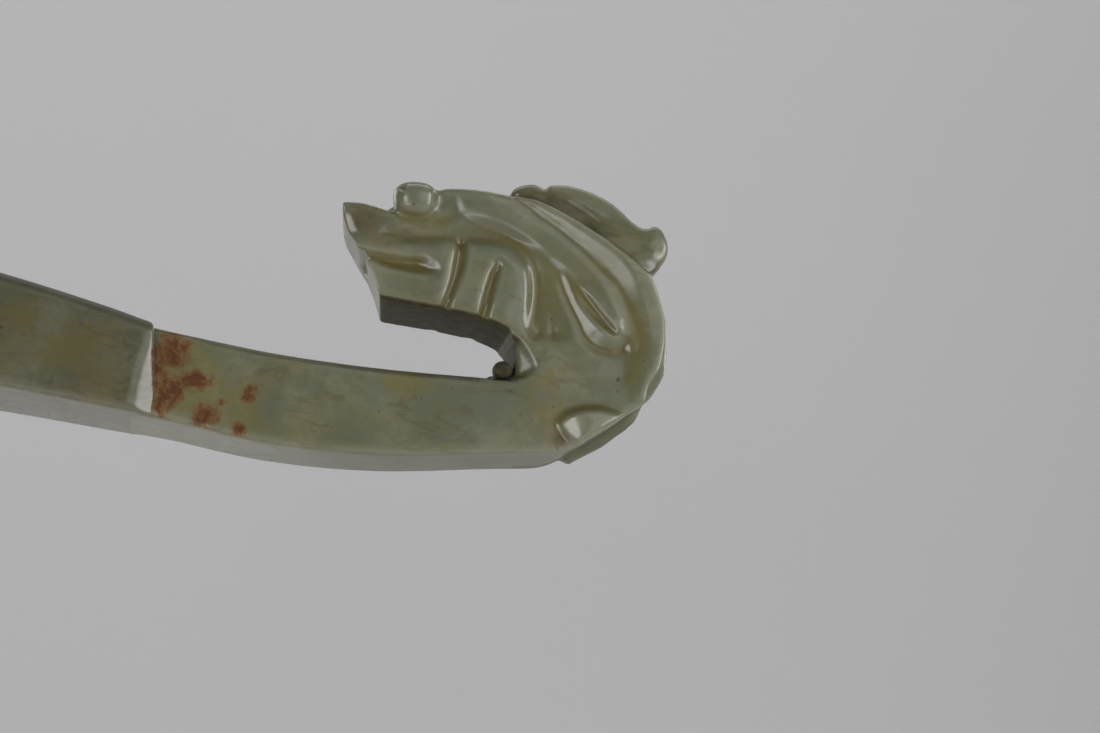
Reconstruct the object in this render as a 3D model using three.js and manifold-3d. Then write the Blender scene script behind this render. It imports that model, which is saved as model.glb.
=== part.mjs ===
// A carved nephrite belt hook. An arched shaft carries a button below, and its far end turns back as a dragon head.
// Lengths are millimetres and +Z is up. The origin is the centre of the button's lower face.
// +X points along the shaft to the head. The dragon looks towards -X, so its left side is -Y.
// The real hook is one stone. Each mesh here is one of its carved parts, parted along a carved line or a flat cut.

import * as THREE from "three";
import { mergeVertices } from "three/addons/utils/BufferGeometryUtils.js";
import Module from "manifold-3d";

const wasm = await Module();
wasm.setup();

// Places along the shaft, from the button's axis
const tailReach = 36;
const shoulderReach = 26;
const waistReach = 36;
const restReach = 46;
const throatReach = 57.7;

// Heights of the shaft's underside over the plane that the button and the neck rest on
const tailRise = 3.2;
const shoulderRise = 2.3;
const waistRise = 0.55;
const throatRise = 0.7;

// Thickness of the shaft at the same places
const tailThickness = 6.2;
const crestThickness = 10.2;
const shoulderThickness = 8;
const waistThickness = 7.7;
const restThickness = 7.3;
const throatThickness = 6.6;

// Widths of the shaft
const tailWidth = 11.5;
const crestWidth = 16;
const shoulderWidth = 14.2;
const neckWidth = 12;
const headWidth = 11;
const tailRound = 5;
const shoulderRound = 1;

// Belt button and its stem
const buttonDiameter = 17;
const buttonThickness = 2.5;
const beltGap = 2.7;
const stemDiameter = 7;
const stemFlare = 0.7;
const stemInset = 0.2;

// Head: the throat's wall to the nose and to the back, the gap under the jaw, and the jaw to the crown
const snoutLength = 15.2;
const headDepth = 13.7;
const throatGap = 4.3;
const skullHeight = 14.2;
const headEdge = 0.5;

// Relief that stands on the head's flat sides
const cheekHeight = 0.7;
const cheekFloor = 0.2;
const cheekEdge = 0.3;
const browWidth = 3.5;
const browHeight = 1.2;
const maneWidth = 3.3;
const maneHeight = 1.4;
const earWidth = 2.6;
const earHeight = 1.1;
const earGrooveWidth = 1;
const earGrooveDepth = 0.6;
const mouthWidth = 1.4;
const mouthDepth = 0.7;
const cheekGrooveWidth = 1.25;
const gillWidth = 1;
const gillDepth = 0.4;

// Eyes, horns and the bead in the throat
const eyeLength = 3.9;
const eyeWidth = 3.6;
const eyeHeight = 3;
const hornWidth = 3.4;
const hornEdge = 0.5;
const hornGrooveWidth = 1.1;
const hornGrooveDepth = 0.5;
const keelWidth = 0.8;
const beadHeight = 1.4;
const beadReach = 1.3;
const beadRise = 0.3;
const beadEdge = 0.3;

// Fits: the carved line between two forms, one overrun for every cut, and the distance at which points are one
const carvedLine = 0.3;
const overrun = 3;
const weld = 0.0001;

// How round the sections are: the exponent of a superellipse, 2 for an ellipse and more for a squarer one
const bodySquareness = 6;
const neckSquareness = 5;
const throatSquareness = 10;
const sectionPoints = 28;

// Values that follow from the sizes
const crestRise = buttonThickness + beltGap;
const headHalf = headWidth / 2;
const throatTop = throatRise + throatThickness;
const jawRise = throatTop + throatGap;

// A smooth track through stations [place, value]: cubic pieces whose slopes come from the neighbours.
function track(stations) {
  const slopes = stations.map((_, i) => {
    const before = stations[Math.max(i - 1, 0)];
    const after = stations[Math.min(i + 1, stations.length - 1)];
    return (after[1] - before[1]) / (after[0] - before[0]);
  });
  return (place) => {
    let i = 0;
    while (i < stations.length - 2 && place > stations[i + 1][0]) i += 1;
    const [start, low] = stations[i];
    const [end, high] = stations[i + 1];
    const span = end - start;
    const t = (place - start) / span;
    const bend = t * t * (3 - 2 * t);
    const leave = t * (1 - t) * (1 - t) * span * slopes[i];
    const arrive = t * t * (t - 1) * span * slopes[i + 1];
    return low + (high - low) * bend + leave + arrive;
  };
}

const underside = track([
  [-tailReach, tailRise],
  [0, crestRise],
  [shoulderReach, shoulderRise],
  [waistReach, waistRise],
  [restReach, 0],
  [throatReach, throatRise],
]);

const thickness = track([
  [-tailReach, tailThickness],
  [0, crestThickness],
  [shoulderReach, shoulderThickness],
  [waistReach, waistThickness],
  [restReach, restThickness],
  [throatReach, throatThickness],
]);

const bodyWidthAt = track([
  [-tailReach, tailWidth],
  [0, crestWidth],
  [shoulderReach, shoulderWidth],
]);

const neckWidthAt = track([
  [shoulderReach, neckWidth],
  [throatReach, headWidth],
]);

const squarenessAt = track([
  [shoulderReach, neckSquareness],
  [restReach, neckSquareness],
  [throatReach, throatSquareness],
]);

// The head's own frame. u is -1 at the nose, 0 at the throat's wall and 1 at the back of the head.
// v is 0 on the rest plane, 1 at the roof of the throat and 2 at the crown.
const alongHead = (u) => throatReach + u * (u < 0 ? snoutLength : headDepth);
const upHead = (v) => (v < 1 ? v * jawRise : jawRise + (v - 1) * skullHeight);
const spot = ([u, v]) => new THREE.Vector2(alongHead(u), upHead(v));

// A closed mesh as a solid that can be joined and cut, and back again.
function solidOf(geometry) {
  const bare = geometry.index ? geometry.toNonIndexed() : geometry.clone();
  bare.deleteAttribute("normal");
  bare.deleteAttribute("uv");
  const merged = mergeVertices(bare, weld);
  return new wasm.Manifold(
    new wasm.Mesh({
      numProp: 3,
      vertProperties: new Float32Array(merged.attributes.position.array),
      triVerts: new Uint32Array(merged.index.array),
    }),
  );
}

function geometryOf(solid) {
  const mesh = solid.getMesh();
  const geometry = new THREE.BufferGeometry();
  geometry.setAttribute("position", new THREE.BufferAttribute(mesh.vertProperties, mesh.numProp));
  geometry.setIndex(new THREE.BufferAttribute(mesh.triVerts, 1));
  geometry.computeVertexNormals();
  return geometry;
}

// The largest body of a solid, for a piece whose thin tip a neighbour cuts off.
function largest(solid) {
  return solid.decompose().reduce((a, b) => (a.volume() > b.volume() ? a : b));
}

// Skins a stack of rings, each a list of [x, y, z] with the same count, and closes both ends with a fan.
function loft(rings) {
  const triangles = [];
  const count = rings[0].length;
  for (let r = 0; r + 1 < rings.length; r += 1) {
    for (let i = 0; i < count; i += 1) {
      const j = (i + 1) % count;
      triangles.push([rings[r][i], rings[r][j], rings[r + 1][i]]);
      triangles.push([rings[r][j], rings[r + 1][j], rings[r + 1][i]]);
    }
  }
  for (const [ring, turned] of [[rings[0], true], [rings[rings.length - 1], false]]) {
    const centre = [0, 1, 2].map((k) => ring.reduce((sum, point) => sum + point[k], 0) / count);
    for (let i = 0; i < count; i += 1) {
      const j = (i + 1) % count;
      triangles.push(turned ? [centre, ring[j], ring[i]] : [centre, ring[i], ring[j]]);
    }
  }
  return facingOut(triangles);
}

// Turns every triangle round where the signed volume shows that they face inwards.
function facingOut(triangles) {
  const [a, b, c] = [new THREE.Vector3(), new THREE.Vector3(), new THREE.Vector3()];
  const volume = triangles.reduce((sum, [p, q, r]) => {
    a.fromArray(p);
    b.fromArray(q);
    c.fromArray(r);
    return sum + a.dot(b.cross(c));
  }, 0);
  const ordered = volume < 0 ? triangles.map(([p, q, r]) => [p, r, q]) : triangles;
  const positions = new Float32Array(ordered.flat(2));
  const geometry = new THREE.BufferGeometry();
  geometry.setAttribute("position", new THREE.BufferAttribute(positions, 3));
  return geometry;
}

// One superellipse section of the shaft, upright at x.
function sectionRing(x, width, low, height, squareness) {
  const bulge = (value) => Math.sign(value) * Math.abs(value) ** (2 / squareness);
  return Array.from({ length: sectionPoints }, (_, i) => {
    const angle = (2 * Math.PI * i) / sectionPoints;
    const y = (width / 2) * bulge(Math.cos(angle));
    const z = low + (height / 2) * (1 + bulge(Math.sin(angle)));
    return [x, y, z];
  });
}

// A closed outline moved outwards by a distance, or inwards where it is negative.
function grown(outline, distance) {
  return outline.map((point, i) => {
    const before = outline[(i + outline.length - 1) % outline.length];
    const after = outline[(i + 1) % outline.length];
    const along = after.clone().sub(before).normalize();
    return new THREE.Vector2(point.x + along.y * distance, point.y - along.x * distance);
  });
}

// A side outline as a slab between two values of y, with rounded edges of the given radius.
function slab(outline, from, to, edge) {
  const contour = THREE.ShapeUtils.isClockWise(outline) ? [...outline].reverse() : outline;
  const faces = THREE.ShapeUtils.triangulateShape(contour, []);
  const edgeSteps = edge > 0 ? 2 : 0;
  const layers = [];
  for (let i = 0; i <= edgeSteps; i += 1) {
    const turn = edgeSteps > 0 ? (i / edgeSteps) * (Math.PI / 2) : 0;
    const line = grown(contour, edge * (Math.sin(turn) - 1));
    const depth = edge * (1 - Math.cos(turn));
    layers.splice(i, 0, line.map((point) => [point.x, from + depth, point.y]));
    layers.splice(i + 1, 0, line.map((point) => [point.x, to - depth, point.y]));
  }
  const triangles = [];
  for (const [face, layer] of [[1, layers[0]], [-1, layers[layers.length - 1]]]) {
    triangles.push(...faces.map(([a, b, c]) => (face > 0 ? [a, b, c] : [a, c, b]).map((k) => layer[k])));
  }
  for (let r = 0; r + 1 < layers.length; r += 1) {
    for (let i = 0; i < contour.length; i += 1) {
      const j = (i + 1) % contour.length;
      triangles.push([layers[r][i], layers[r + 1][i], layers[r][j]]);
      triangles.push([layers[r][j], layers[r + 1][i], layers[r + 1][j]]);
    }
  }
  return solidOf(facingOut(triangles));
}

// A box between two corners.
function block(low, high) {
  const size = high.map((value, k) => value - low[k]);
  const centre = high.map((value, k) => (value + low[k]) / 2);
  return solidOf(new THREE.BoxGeometry(...size).translate(...centre));
}

// A curve through head places, sampled into outline points.
function roundLine(shares, steps) {
  return new THREE.SplineCurve(shares.map(spot)).getPoints(steps);
}

// The unit sections of a ribbon as [across, out] shares, from one foot over the top to the other foot.
const domeShares = Array.from({ length: 9 }, (_, i) => {
  const angle = ((i - 4) / 8) * Math.PI;
  return [Math.sin(angle), Math.cos(angle) ** 0.75];
});
// The brow stands up steeply from its lower edge, at -1, and leans back to the mane.
const browSectionShares = [
  [-1, 0],
  [-0.97, 0.5],
  [-0.84, 0.8],
  [-0.55, 0.96],
  [-0.15, 1],
  [0.3, 0.93],
  [0.65, 0.76],
  [0.92, 0.5],
  [1, 0],
];
// The mane climbs from its valley, at -1, to a broad flat with a bevelled rim.
const maneSectionShares = [
  [-1, 0],
  [-0.85, 0.5],
  [-0.6, 0.86],
  [-0.3, 1],
  [0.1, 1],
  [0.5, 0.94],
  [0.76, 0.8],
  [0.95, 0.4],
  [1, 0],
];
const boxShares = [
  [-1, 0],
  [-1, 1],
  [1, 1],
  [1, 0],
];
const troughShares = [
  [-1, 0],
  [-1, 0.9],
  [-0.6, 0.98],
  [0, 1],
  [0.6, 0.98],
  [1, 0.9],
  [1, 0],
];

// A ribbon on a flat side of the head. Its places are [u, v, width share], and it rises from foot to top in y.
function ribbon(places, width, foot, top, side, steps, section) {
  const route = places.map(([u, v, widthShare]) => new THREE.Vector3(alongHead(u), widthShare, upHead(v)));
  const curve = new THREE.CatmullRomCurve3(route, false, "catmullrom");
  const rings = [];
  for (let i = 0; i <= steps; i += 1) {
    const here = curve.getPoint(i / steps);
    const tangent = curve.getTangent(i / steps);
    const across = new THREE.Vector2(-tangent.z, tangent.x).normalize().multiplyScalar((width / 2) * here.y);
    const placed = ([a, out]) => {
      const y = side * (foot + out * (top - foot));
      return [here.x + a * across.x, y, here.z + a * across.y];
    };
    rings.push(section.map(placed));
  }
  return solidOf(loft(rings));
}

// The space a ribbon takes with the carved line round it, which its neighbours are cut by.
function ribbonRoom(places, width, height, side, steps) {
  const room = places.map(([u, v, share]) => [u, v, share + (2 * carvedLine) / width]);
  return ribbon(room, width, headHalf - overrun, headHalf + height + overrun, side, steps, boxShares);
}

// A groove cut from the outside down to a floor.
function groove(places, width, floor, side, steps) {
  const lip = floor + overrun;
  return ribbon(places, width, lip, floor, side, steps, troughShares);
}

// Shaft: the thick body from the tail to the shoulder
function bodySolid() {
  const rings = [];
  const tailSteps = 6;
  for (let i = 1; i < tailSteps; i += 1) {
    const turn = (i / tailSteps) * (Math.PI / 2);
    const x = -tailReach + tailRound * (1 - Math.cos(turn));
    const width = bodyWidthAt(x) * Math.sin(turn);
    const height = thickness(x) * Math.sqrt(Math.sin(turn));
    const low = underside(x) + (thickness(x) - height) / 2;
    rings.push(sectionRing(x, width, low, height, bodySquareness));
  }
  const bodySteps = 16;
  const straightStart = tailRound - tailReach;
  const straightEnd = shoulderReach - shoulderRound;
  for (let i = 0; i <= bodySteps; i += 1) {
    const x = straightStart + (straightEnd - straightStart) * (i / bodySteps);
    rings.push(sectionRing(x, bodyWidthAt(x), underside(x), thickness(x), bodySquareness));
  }
  const shoulderSteps = 4;
  for (let i = 1; i <= shoulderSteps; i += 1) {
    const turn = (i / shoulderSteps) * (Math.PI / 2);
    const x = straightEnd + shoulderRound * Math.sin(turn);
    const width = neckWidth + (bodyWidthAt(x) - neckWidth) * Math.cos(turn);
    rings.push(sectionRing(x, width, underside(x), thickness(x), bodySquareness));
  }
  const seatRadius = stemDiameter / 2 + stemFlare + carvedLine;
  const seat = new THREE.CylinderGeometry(seatRadius, seatRadius, beltGap, 32);
  seat.rotateX(Math.PI / 2).translate(0, 0, crestRise + stemInset - beltGap / 2);
  return solidOf(loft(rings)).subtract(solidOf(seat));
}

// Shaft: the slimmer neck from the shoulder to the throat
function neckSolid() {
  const neckSteps = 16;
  const rings = [];
  for (let i = 0; i <= neckSteps; i += 1) {
    const x = shoulderReach + (throatReach - shoulderReach) * (i / neckSteps);
    rings.push(sectionRing(x, neckWidthAt(x), underside(x), thickness(x), squarenessAt(x)));
  }
  return solidOf(loft(rings));
}

// Belt button: a round disc with a half-round rim, flat above and below
function buttonSolid() {
  const rim = buttonThickness / 2;
  const inner = buttonDiameter / 2 - rim;
  const profile = [new THREE.Vector2(0, 0)];
  const rimSteps = 8;
  for (let i = 0; i <= rimSteps; i += 1) {
    const turn = (i / rimSteps - 1 / 2) * Math.PI;
    profile.push(new THREE.Vector2(inner + rim * Math.cos(turn), rim + rim * Math.sin(turn)));
  }
  profile.push(new THREE.Vector2(0, buttonThickness));
  return solidOf(new THREE.LatheGeometry(profile, 40).rotateX(Math.PI / 2));
}

// Stem: a waisted post that flares into the button and into the shaft
function stemSolid() {
  const stemHeight = beltGap + stemInset;
  const stemSteps = 8;
  const profile = [new THREE.Vector2(0, 0)];
  for (let i = 0; i <= stemSteps; i += 1) {
    const share = i / stemSteps;
    const radius = stemDiameter / 2 + stemFlare * (2 * share - 1) ** 2;
    profile.push(new THREE.Vector2(radius, stemHeight * share));
  }
  profile.push(new THREE.Vector2(0, stemHeight));
  return solidOf(new THREE.LatheGeometry(profile, 28).rotateX(Math.PI / 2).translate(0, 0, buttonThickness));
}

// Head: the outline of the skull, snout and bend, from the neck's underside round the back to the throat
const bendShares = [
  [0, 0.06],
  [0.27, 0.09],
  [0.46, 0.2],
  [0.64, 0.34],
  [0.8, 0.48],
  [0.9, 0.63],
  [0.945, 0.78],
  [0.955, 0.96],
  [0.93, 1.15],
  [0.86, 1.33],
  [0.73, 1.47],
  [0.55, 1.605],
  [0.34, 1.725],
  [0.14, 1.805],
  [-0.06, 1.845],
  [-0.28, 1.86],
  [-0.44, 1.835],
  [-0.56, 1.77],
  [-0.66, 1.745],
  [-0.78, 1.75],
  [-0.89, 1.78],
  [-0.97, 1.785],
];
const noseShares = [
  [-1.02, 1.775],
  [-1.04, 1.725],
  [-1.01, 1.63],
  [-0.94, 1.49],
  [-0.9, 1.41],
  [-0.855, 1.3],
  [-0.81, 1.175],
];
const jawShares = [
  [-0.81, 1.175],
  [-0.68, 1.155],
  [-0.43, 1.12],
  [-0.2, 1.07],
  [-0.06, 1.01],
  [0, 1],
];

// The skull's outline, with a stub into the neck that a flat cut takes off
function skullOutline() {
  return [
    new THREE.Vector2(throatReach - overrun, throatRise),
    ...roundLine(bendShares, 54),
    ...roundLine(noseShares, 12),
    ...roundLine(jawShares, 10).slice(1),
    new THREE.Vector2(throatReach, throatTop),
    new THREE.Vector2(throatReach - overrun, throatTop),
  ];
}

// The horns' side outline: a lobed root, a long back and a curled knob. The skull cuts its lower side.
const hornShares = [
  [0.06, 1.76],
  [-0.03, 1.83],
  [-0.05, 1.89],
  [-0.01, 1.955],
  [0.06, 1.985],
  [0.13, 1.985],
  [0.182, 1.957],
  [0.25, 1.985],
  [0.34, 1.985],
  [0.47, 1.955],
  [0.59, 1.905],
  [0.675, 1.85],
  [0.76, 1.775],
  [0.83, 1.735],
  [0.92, 1.75],
  [0.98, 1.705],
  [1.015, 1.61],
  [0.98, 1.515],
  [0.92, 1.45],
  [0.86, 1.41],
  [0.76, 1.4],
];

// The keel between the horns, a little lower than their backs
const keelShares = [
  [0.04, 1.72],
  [0, 1.86],
  [0.1, 1.93],
  [0.34, 1.92],
  [0.54, 1.87],
  [0.7, 1.77],
  [0.84, 1.64],
  [0.92, 1.6],
  [0.96, 1.57],
  [0.9, 1.44],
  [0.7, 1.4],
];

// Relief bands as [u, v, width share]
const browShares = [
  [-0.47, 1.865, 0.3],
  [-0.38, 1.845, 0.72],
  [-0.28, 1.825, 0.94],
  [-0.145, 1.785, 1],
  [0.06, 1.685, 0.88],
  [0.27, 1.55, 0.82],
  [0.445, 1.4, 0.77],
  [0.58, 1.245, 0.68],
  [0.665, 1.1, 0.4],
];
const maneShares = [
  [0.1, 1.83, 0.15],
  [0.19, 1.785, 0.4],
  [0.37, 1.685, 0.53],
  [0.53, 1.565, 0.64],
  [0.71, 1.405, 0.86],
  [0.84, 1.205, 0.98],
  [0.895, 0.965, 0.95],
  [0.877, 0.74, 1],
  [0.82, 0.545, 0.9],
  [0.71, 0.425, 0.72],
  [0.6, 0.355, 0.7],
  [0.49, 0.3, 0.84],
  [0.4, 0.255, 0.88],
  [0.335, 0.235, 0.45],
];
const earShares = [
  [0.28, 1.4, 0.1],
  [0.35, 1.3, 0.36],
  [0.43, 1.175, 0.66],
  [0.51, 1.065, 0.92],
  [0.58, 0.995, 1],
  [0.65, 0.955, 0.84],
  [0.71, 0.95, 0.35],
];
const earGrooveShares = [
  [0.32, 1.345, 0.3],
  [0.41, 1.235, 1],
  [0.5, 1.135, 1],
  [0.57, 1.07, 0.8],
  [0.62, 1.03, 0.3],
];
const mouthShares = [
  [-1.1, 1.46, 0.75],
  [-0.87, 1.443, 0.8],
  [-0.72, 1.406, 1],
  [-0.6, 1.386, 0.95],
  [-0.53, 1.374, 0.6],
];
const cheekGrooveShares = [
  [
    [-0.345, 1.56, 1],
    [-0.347, 1.46, 1],
    [-0.37, 1.33, 1],
    [-0.405, 1.2, 0.9],
    [-0.43, 1.1, 0.9],
  ],
  [
    [-0.13, 1.43, 0.35],
    [-0.145, 1.36, 0.8],
    [-0.17, 1.25, 0.9],
    [-0.2, 1.13, 0.85],
    [-0.215, 1.04, 0.85],
  ],
];
const gillShares = [
  [
    [0.15, 1.36, 0.3],
    [0.19, 1.18, 0.9],
    [0.17, 0.97, 0.9],
  ],
  [
    [0.23, 1.36, 0.3],
    [0.25, 1.14, 1],
    [0.24, 0.96, 1],
  ],
  [
    [0.31, 1.2, 0.3],
    [0.32, 1.08, 1],
    [0.31, 0.95, 1],
  ],
];
const cheekShares = [
  [-0.94, 1.49],
  [-0.82, 1.505],
  [-0.63, 1.545],
  [-0.45, 1.565],
  [-0.24, 1.572],
  [-0.1, 1.56],
  [0, 1.505],
  [0.065, 1.41],
  [0.095, 1.27],
  [0.085, 1.15],
  [0.045, 1.06],
];
const hornGrooveShares = [
  [0.17, 1.925, 0.3],
  [0.26, 1.875, 1],
  [0.36, 1.83, 1],
  [0.46, 1.77, 1],
  [0.55, 1.71, 0.6],
];
const lipShares = [-0.9, 1.45];
const eyeSpotShares = [-0.617, 1.835];
const eyeFloorShares = [-0.617, 1.735];
const eyeInsetShare = 0.22;

const browSteps = 20;
const maneSteps = 34;

// The mouth's slit across the front of the snout, on the line where the cheeks' slits start
function lipNotch() {
  const { x, y } = spot(lipShares);
  const low = [x - overrun, -headHalf - overrun, y - mouthWidth / 2];
  return block(low, [x + mouthDepth, headHalf + overrun, y + mouthWidth / 2]);
}

// Head core: skull, snout and bend with the keel on top, sockets for the eyes and the gill flutes
function headSolid() {
  let head = slab(skullOutline(), -headHalf, headHalf, headEdge);
  const stubHigh = [throatReach, headHalf + overrun, throatTop];
  head = head.subtract(block([throatReach - 2 * overrun, -headHalf - overrun, -overrun], stubHigh));
  head = head.add(slab(roundLine(keelShares, 30), -keelWidth / 2, keelWidth / 2, 0)).subtract(lipNotch());
  for (const side of [-1, 1]) {
    head = head.subtract(eyeSolid(side, carvedLine));
    for (const places of gillShares) {
      head = head.subtract(groove(places, gillWidth, headHalf - gillDepth, side, 10));
    }
  }
  return head;
}

// An egg that bulges over the top edge of the snout, grown for the room that its neighbours leave
function eyeBall(side, growth) {
  const centre = spot(eyeSpotShares);
  const half = [eyeLength / 2, eyeWidth / 2, eyeHeight / 2].map((value) => value + growth);
  const ball = new THREE.SphereGeometry(1, 20, 12).scale(...half);
  const y = side * (headHalf - eyeWidth * eyeInsetShare);
  return solidOf(ball.translate(centre.x, y, centre.y));
}

// Eye: the egg cut flat where it stands on the floor of its socket
function eyeSolid(side, growth) {
  const floor = spot(eyeFloorShares).y;
  const centre = spot(eyeSpotShares);
  const low = [centre.x - eyeLength, -headWidth, floor - eyeHeight];
  const high = [centre.x + eyeLength, headWidth, floor];
  return eyeBall(side, growth).subtract(block(low, high));
}

// Horn: a slab beside the keel whose lower side clears the skull
function hornSolid(side) {
  const near = keelWidth / 2;
  const far = near + hornWidth;
  const outline = roundLine(hornShares, 60);
  const whole = slab(outline, near - hornEdge, far, hornEdge);
  const inner = block([0, near - overrun, 0], [throatReach * 2, near, jawRise + 2 * skullHeight]);
  const skull = slab(grown(skullOutline(), carvedLine), -headHalf, headHalf, 0);
  const line = groove(hornGrooveShares, hornGrooveWidth, far - hornGrooveDepth, 1, 12);
  const horn = largest(whole.subtract(inner).subtract(skull).subtract(line));
  return side > 0 ? horn : mirrored(horn);
}

// The same solid on the dragon's left side
function mirrored(solid) {
  const geometry = geometryOf(solid).toNonIndexed();
  const position = geometry.attributes.position;
  const triangles = [];
  for (let i = 0; i < position.count; i += 3) {
    triangles.push([i, i + 1, i + 2].map((k) => [position.getX(k), -position.getY(k), position.getZ(k)]));
  }
  return solidOf(facingOut(triangles));
}

const browRoom = (side) => ribbonRoom(browShares, browWidth, browHeight, side, browSteps);
const maneRoom = (side) => ribbonRoom(maneShares, maneWidth, maneHeight, side, maneSteps);

// Mane lock: round the back of the head and down to a curled leaf on the neck
function maneSolid(side) {
  return ribbon(maneShares, maneWidth, headHalf, headHalf + maneHeight, side, maneSteps, maneSectionShares);
}

// Brow: a crescent from the eye back to the mane
function browSolid(side) {
  const top = headHalf + browHeight;
  const whole = ribbon(browShares, browWidth, headHalf, top, side, browSteps, browSectionShares);
  return largest(whole.subtract(maneRoom(side)).subtract(eyeBall(side, carvedLine)));
}

// Ear: a leaf with a groove along it
function earSolid(side) {
  const whole = ribbon(earShares, earWidth, headHalf, headHalf + earHeight, side, 14, domeShares);
  const floor = headHalf + earHeight - earGrooveDepth;
  const cut = whole.subtract(groove(earGrooveShares, earGrooveWidth, floor, side, 8));
  return largest(cut.subtract(maneRoom(side)).subtract(browRoom(side)));
}

// Cheek: a raised panel along the jaw with the mouth's slit and two grooves
function cheekSolid(side) {
  const outline = [
    ...roundLine(cheekShares, 24),
    ...roundLine(jawShares, 10).reverse(),
    ...roundLine(noseShares.slice(3), 5).reverse().slice(1, -1),
  ];
  const near = headHalf - cheekHeight;
  const far = headHalf + cheekHeight;
  let cheek = slab(outline, side > 0 ? near : -far, side > 0 ? far : -near, cheekEdge);
  cheek = cheek.subtract(block([0, -headHalf, 0], [2 * throatReach, headHalf, jawRise + 2 * skullHeight]));
  const floor = headHalf + cheekFloor;
  cheek = cheek.subtract(groove(mouthShares, mouthWidth, floor, side, 10));
  for (const places of cheekGrooveShares) {
    cheek = cheek.subtract(groove(places, cheekGrooveWidth, floor, side, 8));
  }
  return largest(cheek.subtract(browRoom(side)).subtract(eyeBall(side, carvedLine)));
}

// Bead: a round-nosed roll across the throat's wall, just above the shaft
function beadSolid() {
  const beadSteps = 12;
  const half = beadHeight / 2;
  const middle = throatTop + beadRise + half;
  const outline = Array.from({ length: beadSteps + 1 }, (_, i) => {
    const turn = (1 / 2 + i / beadSteps) * Math.PI;
    return new THREE.Vector2(throatReach + beadReach * Math.cos(turn), middle + half * Math.sin(turn));
  });
  return slab(outline, -headHalf + headEdge, headHalf - headEdge, beadEdge).subtract(
    block([throatReach, -headWidth, 0], [throatReach + overrun, headWidth, jawRise]),
  );
}

// Materials: polished nephrite, greyer and greener on the shaft, more olive where the carving is deep
function jade(name, color, roughness) {
  return new THREE.MeshStandardMaterial({ name, color, roughness, metalness: 0 });
}
const shaftJade = () => jade("jade_shaft", 0x7b7f6a, 0.28);
const headJade = () => jade("jade_head", 0x7f8068, 0.3);
const reliefJade = () => jade("jade_relief", 0x8b8d78, 0.24);
const recessJade = () => jade("jade_recess", 0x6d6a4a, 0.4);

const hook = new THREE.Group();

function addPiece(name, solid, material) {
  const mesh = new THREE.Mesh(geometryOf(solid), material);
  mesh.name = name;
  hook.add(mesh);
}

addPiece("shaft_body", bodySolid(), shaftJade());
addPiece("shaft_neck", neckSolid(), shaftJade());
addPiece("belt_button", buttonSolid(), shaftJade());
addPiece("button_stem", stemSolid(), shaftJade());
addPiece("dragon_head", headSolid(), headJade());
addPiece("throat_bead", beadSolid(), recessJade());

for (const [side, suffix] of [[-1, "left"], [1, "right"]]) {
  addPiece("cheek_" + suffix, cheekSolid(side), headJade());
  addPiece("brow_" + suffix, browSolid(side), reliefJade());
  addPiece("mane_" + suffix, maneSolid(side), reliefJade());
  addPiece("ear_" + suffix, earSolid(side), reliefJade());
  addPiece("eye_" + suffix, eyeSolid(side, 0), reliefJade());
  addPiece("horn_" + suffix, hornSolid(side), reliefJade());
}

export default hook;
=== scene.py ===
import bpy
import numpy as np
from mathutils import Matrix, Vector


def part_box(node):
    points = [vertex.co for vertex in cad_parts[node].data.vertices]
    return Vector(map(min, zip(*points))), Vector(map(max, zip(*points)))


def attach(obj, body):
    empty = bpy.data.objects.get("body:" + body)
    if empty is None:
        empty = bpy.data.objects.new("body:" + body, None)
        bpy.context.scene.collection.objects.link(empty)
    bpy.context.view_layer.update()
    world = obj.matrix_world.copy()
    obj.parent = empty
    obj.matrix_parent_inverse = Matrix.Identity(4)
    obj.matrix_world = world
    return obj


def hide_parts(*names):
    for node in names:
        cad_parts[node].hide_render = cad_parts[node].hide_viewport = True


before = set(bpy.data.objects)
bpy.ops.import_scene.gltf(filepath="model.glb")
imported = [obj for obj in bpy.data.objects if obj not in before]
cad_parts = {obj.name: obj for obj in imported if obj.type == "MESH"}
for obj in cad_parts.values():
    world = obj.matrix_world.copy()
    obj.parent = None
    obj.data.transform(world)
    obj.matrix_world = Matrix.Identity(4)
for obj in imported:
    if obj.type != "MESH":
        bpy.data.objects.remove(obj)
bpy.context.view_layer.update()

MM = 0.001


def corners(node):
    """The lowest and highest corner of a CAD node, in millimetres."""
    low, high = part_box(node)
    return np.array(low) / MM, np.array(high) / MM


# The frame of the carving
neck_low, neck_high = corners("shaft_neck")
head_low, head_high = corners("dragon_head")
button_low, button_high = corners("belt_button")
stem_low, stem_high = corners("button_stem")

SHOULDER = neck_low[0]
THROAT = neck_high[0]
HALF = head_high[1]
# The head's own measures: the nose tip's share u, then the throat to the nose and to the back, the rest plane
# to the jaw and the jaw to the crown
NOSE_TIP = 1.04
SNOUT = (THROAT - head_low[0]) / NOSE_TIP
DEPTH = 13.7
JAW = 11.6
SKULL = 14.2
# Places along the shaft: the tail's end and its rounding, the arch's top, the shoulder, the waist, the point
# that the neck rests on, and the throat
TAIL_AT, TAIL_ROUND, ARCH_AT, SHOULDER_AT, WAIST_AT, REST_AT, THROAT_AT = -36, 5, 0, 26, 36, 46, 57.7


def place(shares):
    """Head shares (u, v, ...) to millimetres (x, z, ...).

    u is -1 at the nose, 0 at the throat and 1 at the back.
    v is 0 on the rest plane, 1 at the jaw and 2 at the crown.
    """
    out = np.array(shares, float)
    u, v = out[:, 0].copy(), out[:, 1].copy()
    out[:, 0] = THROAT + u * np.where(u < 0, SNOUT, DEPTH)
    out[:, 1] = np.where(v < 1, v * JAW, JAW + (v - 1) * SKULL)
    return out


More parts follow.
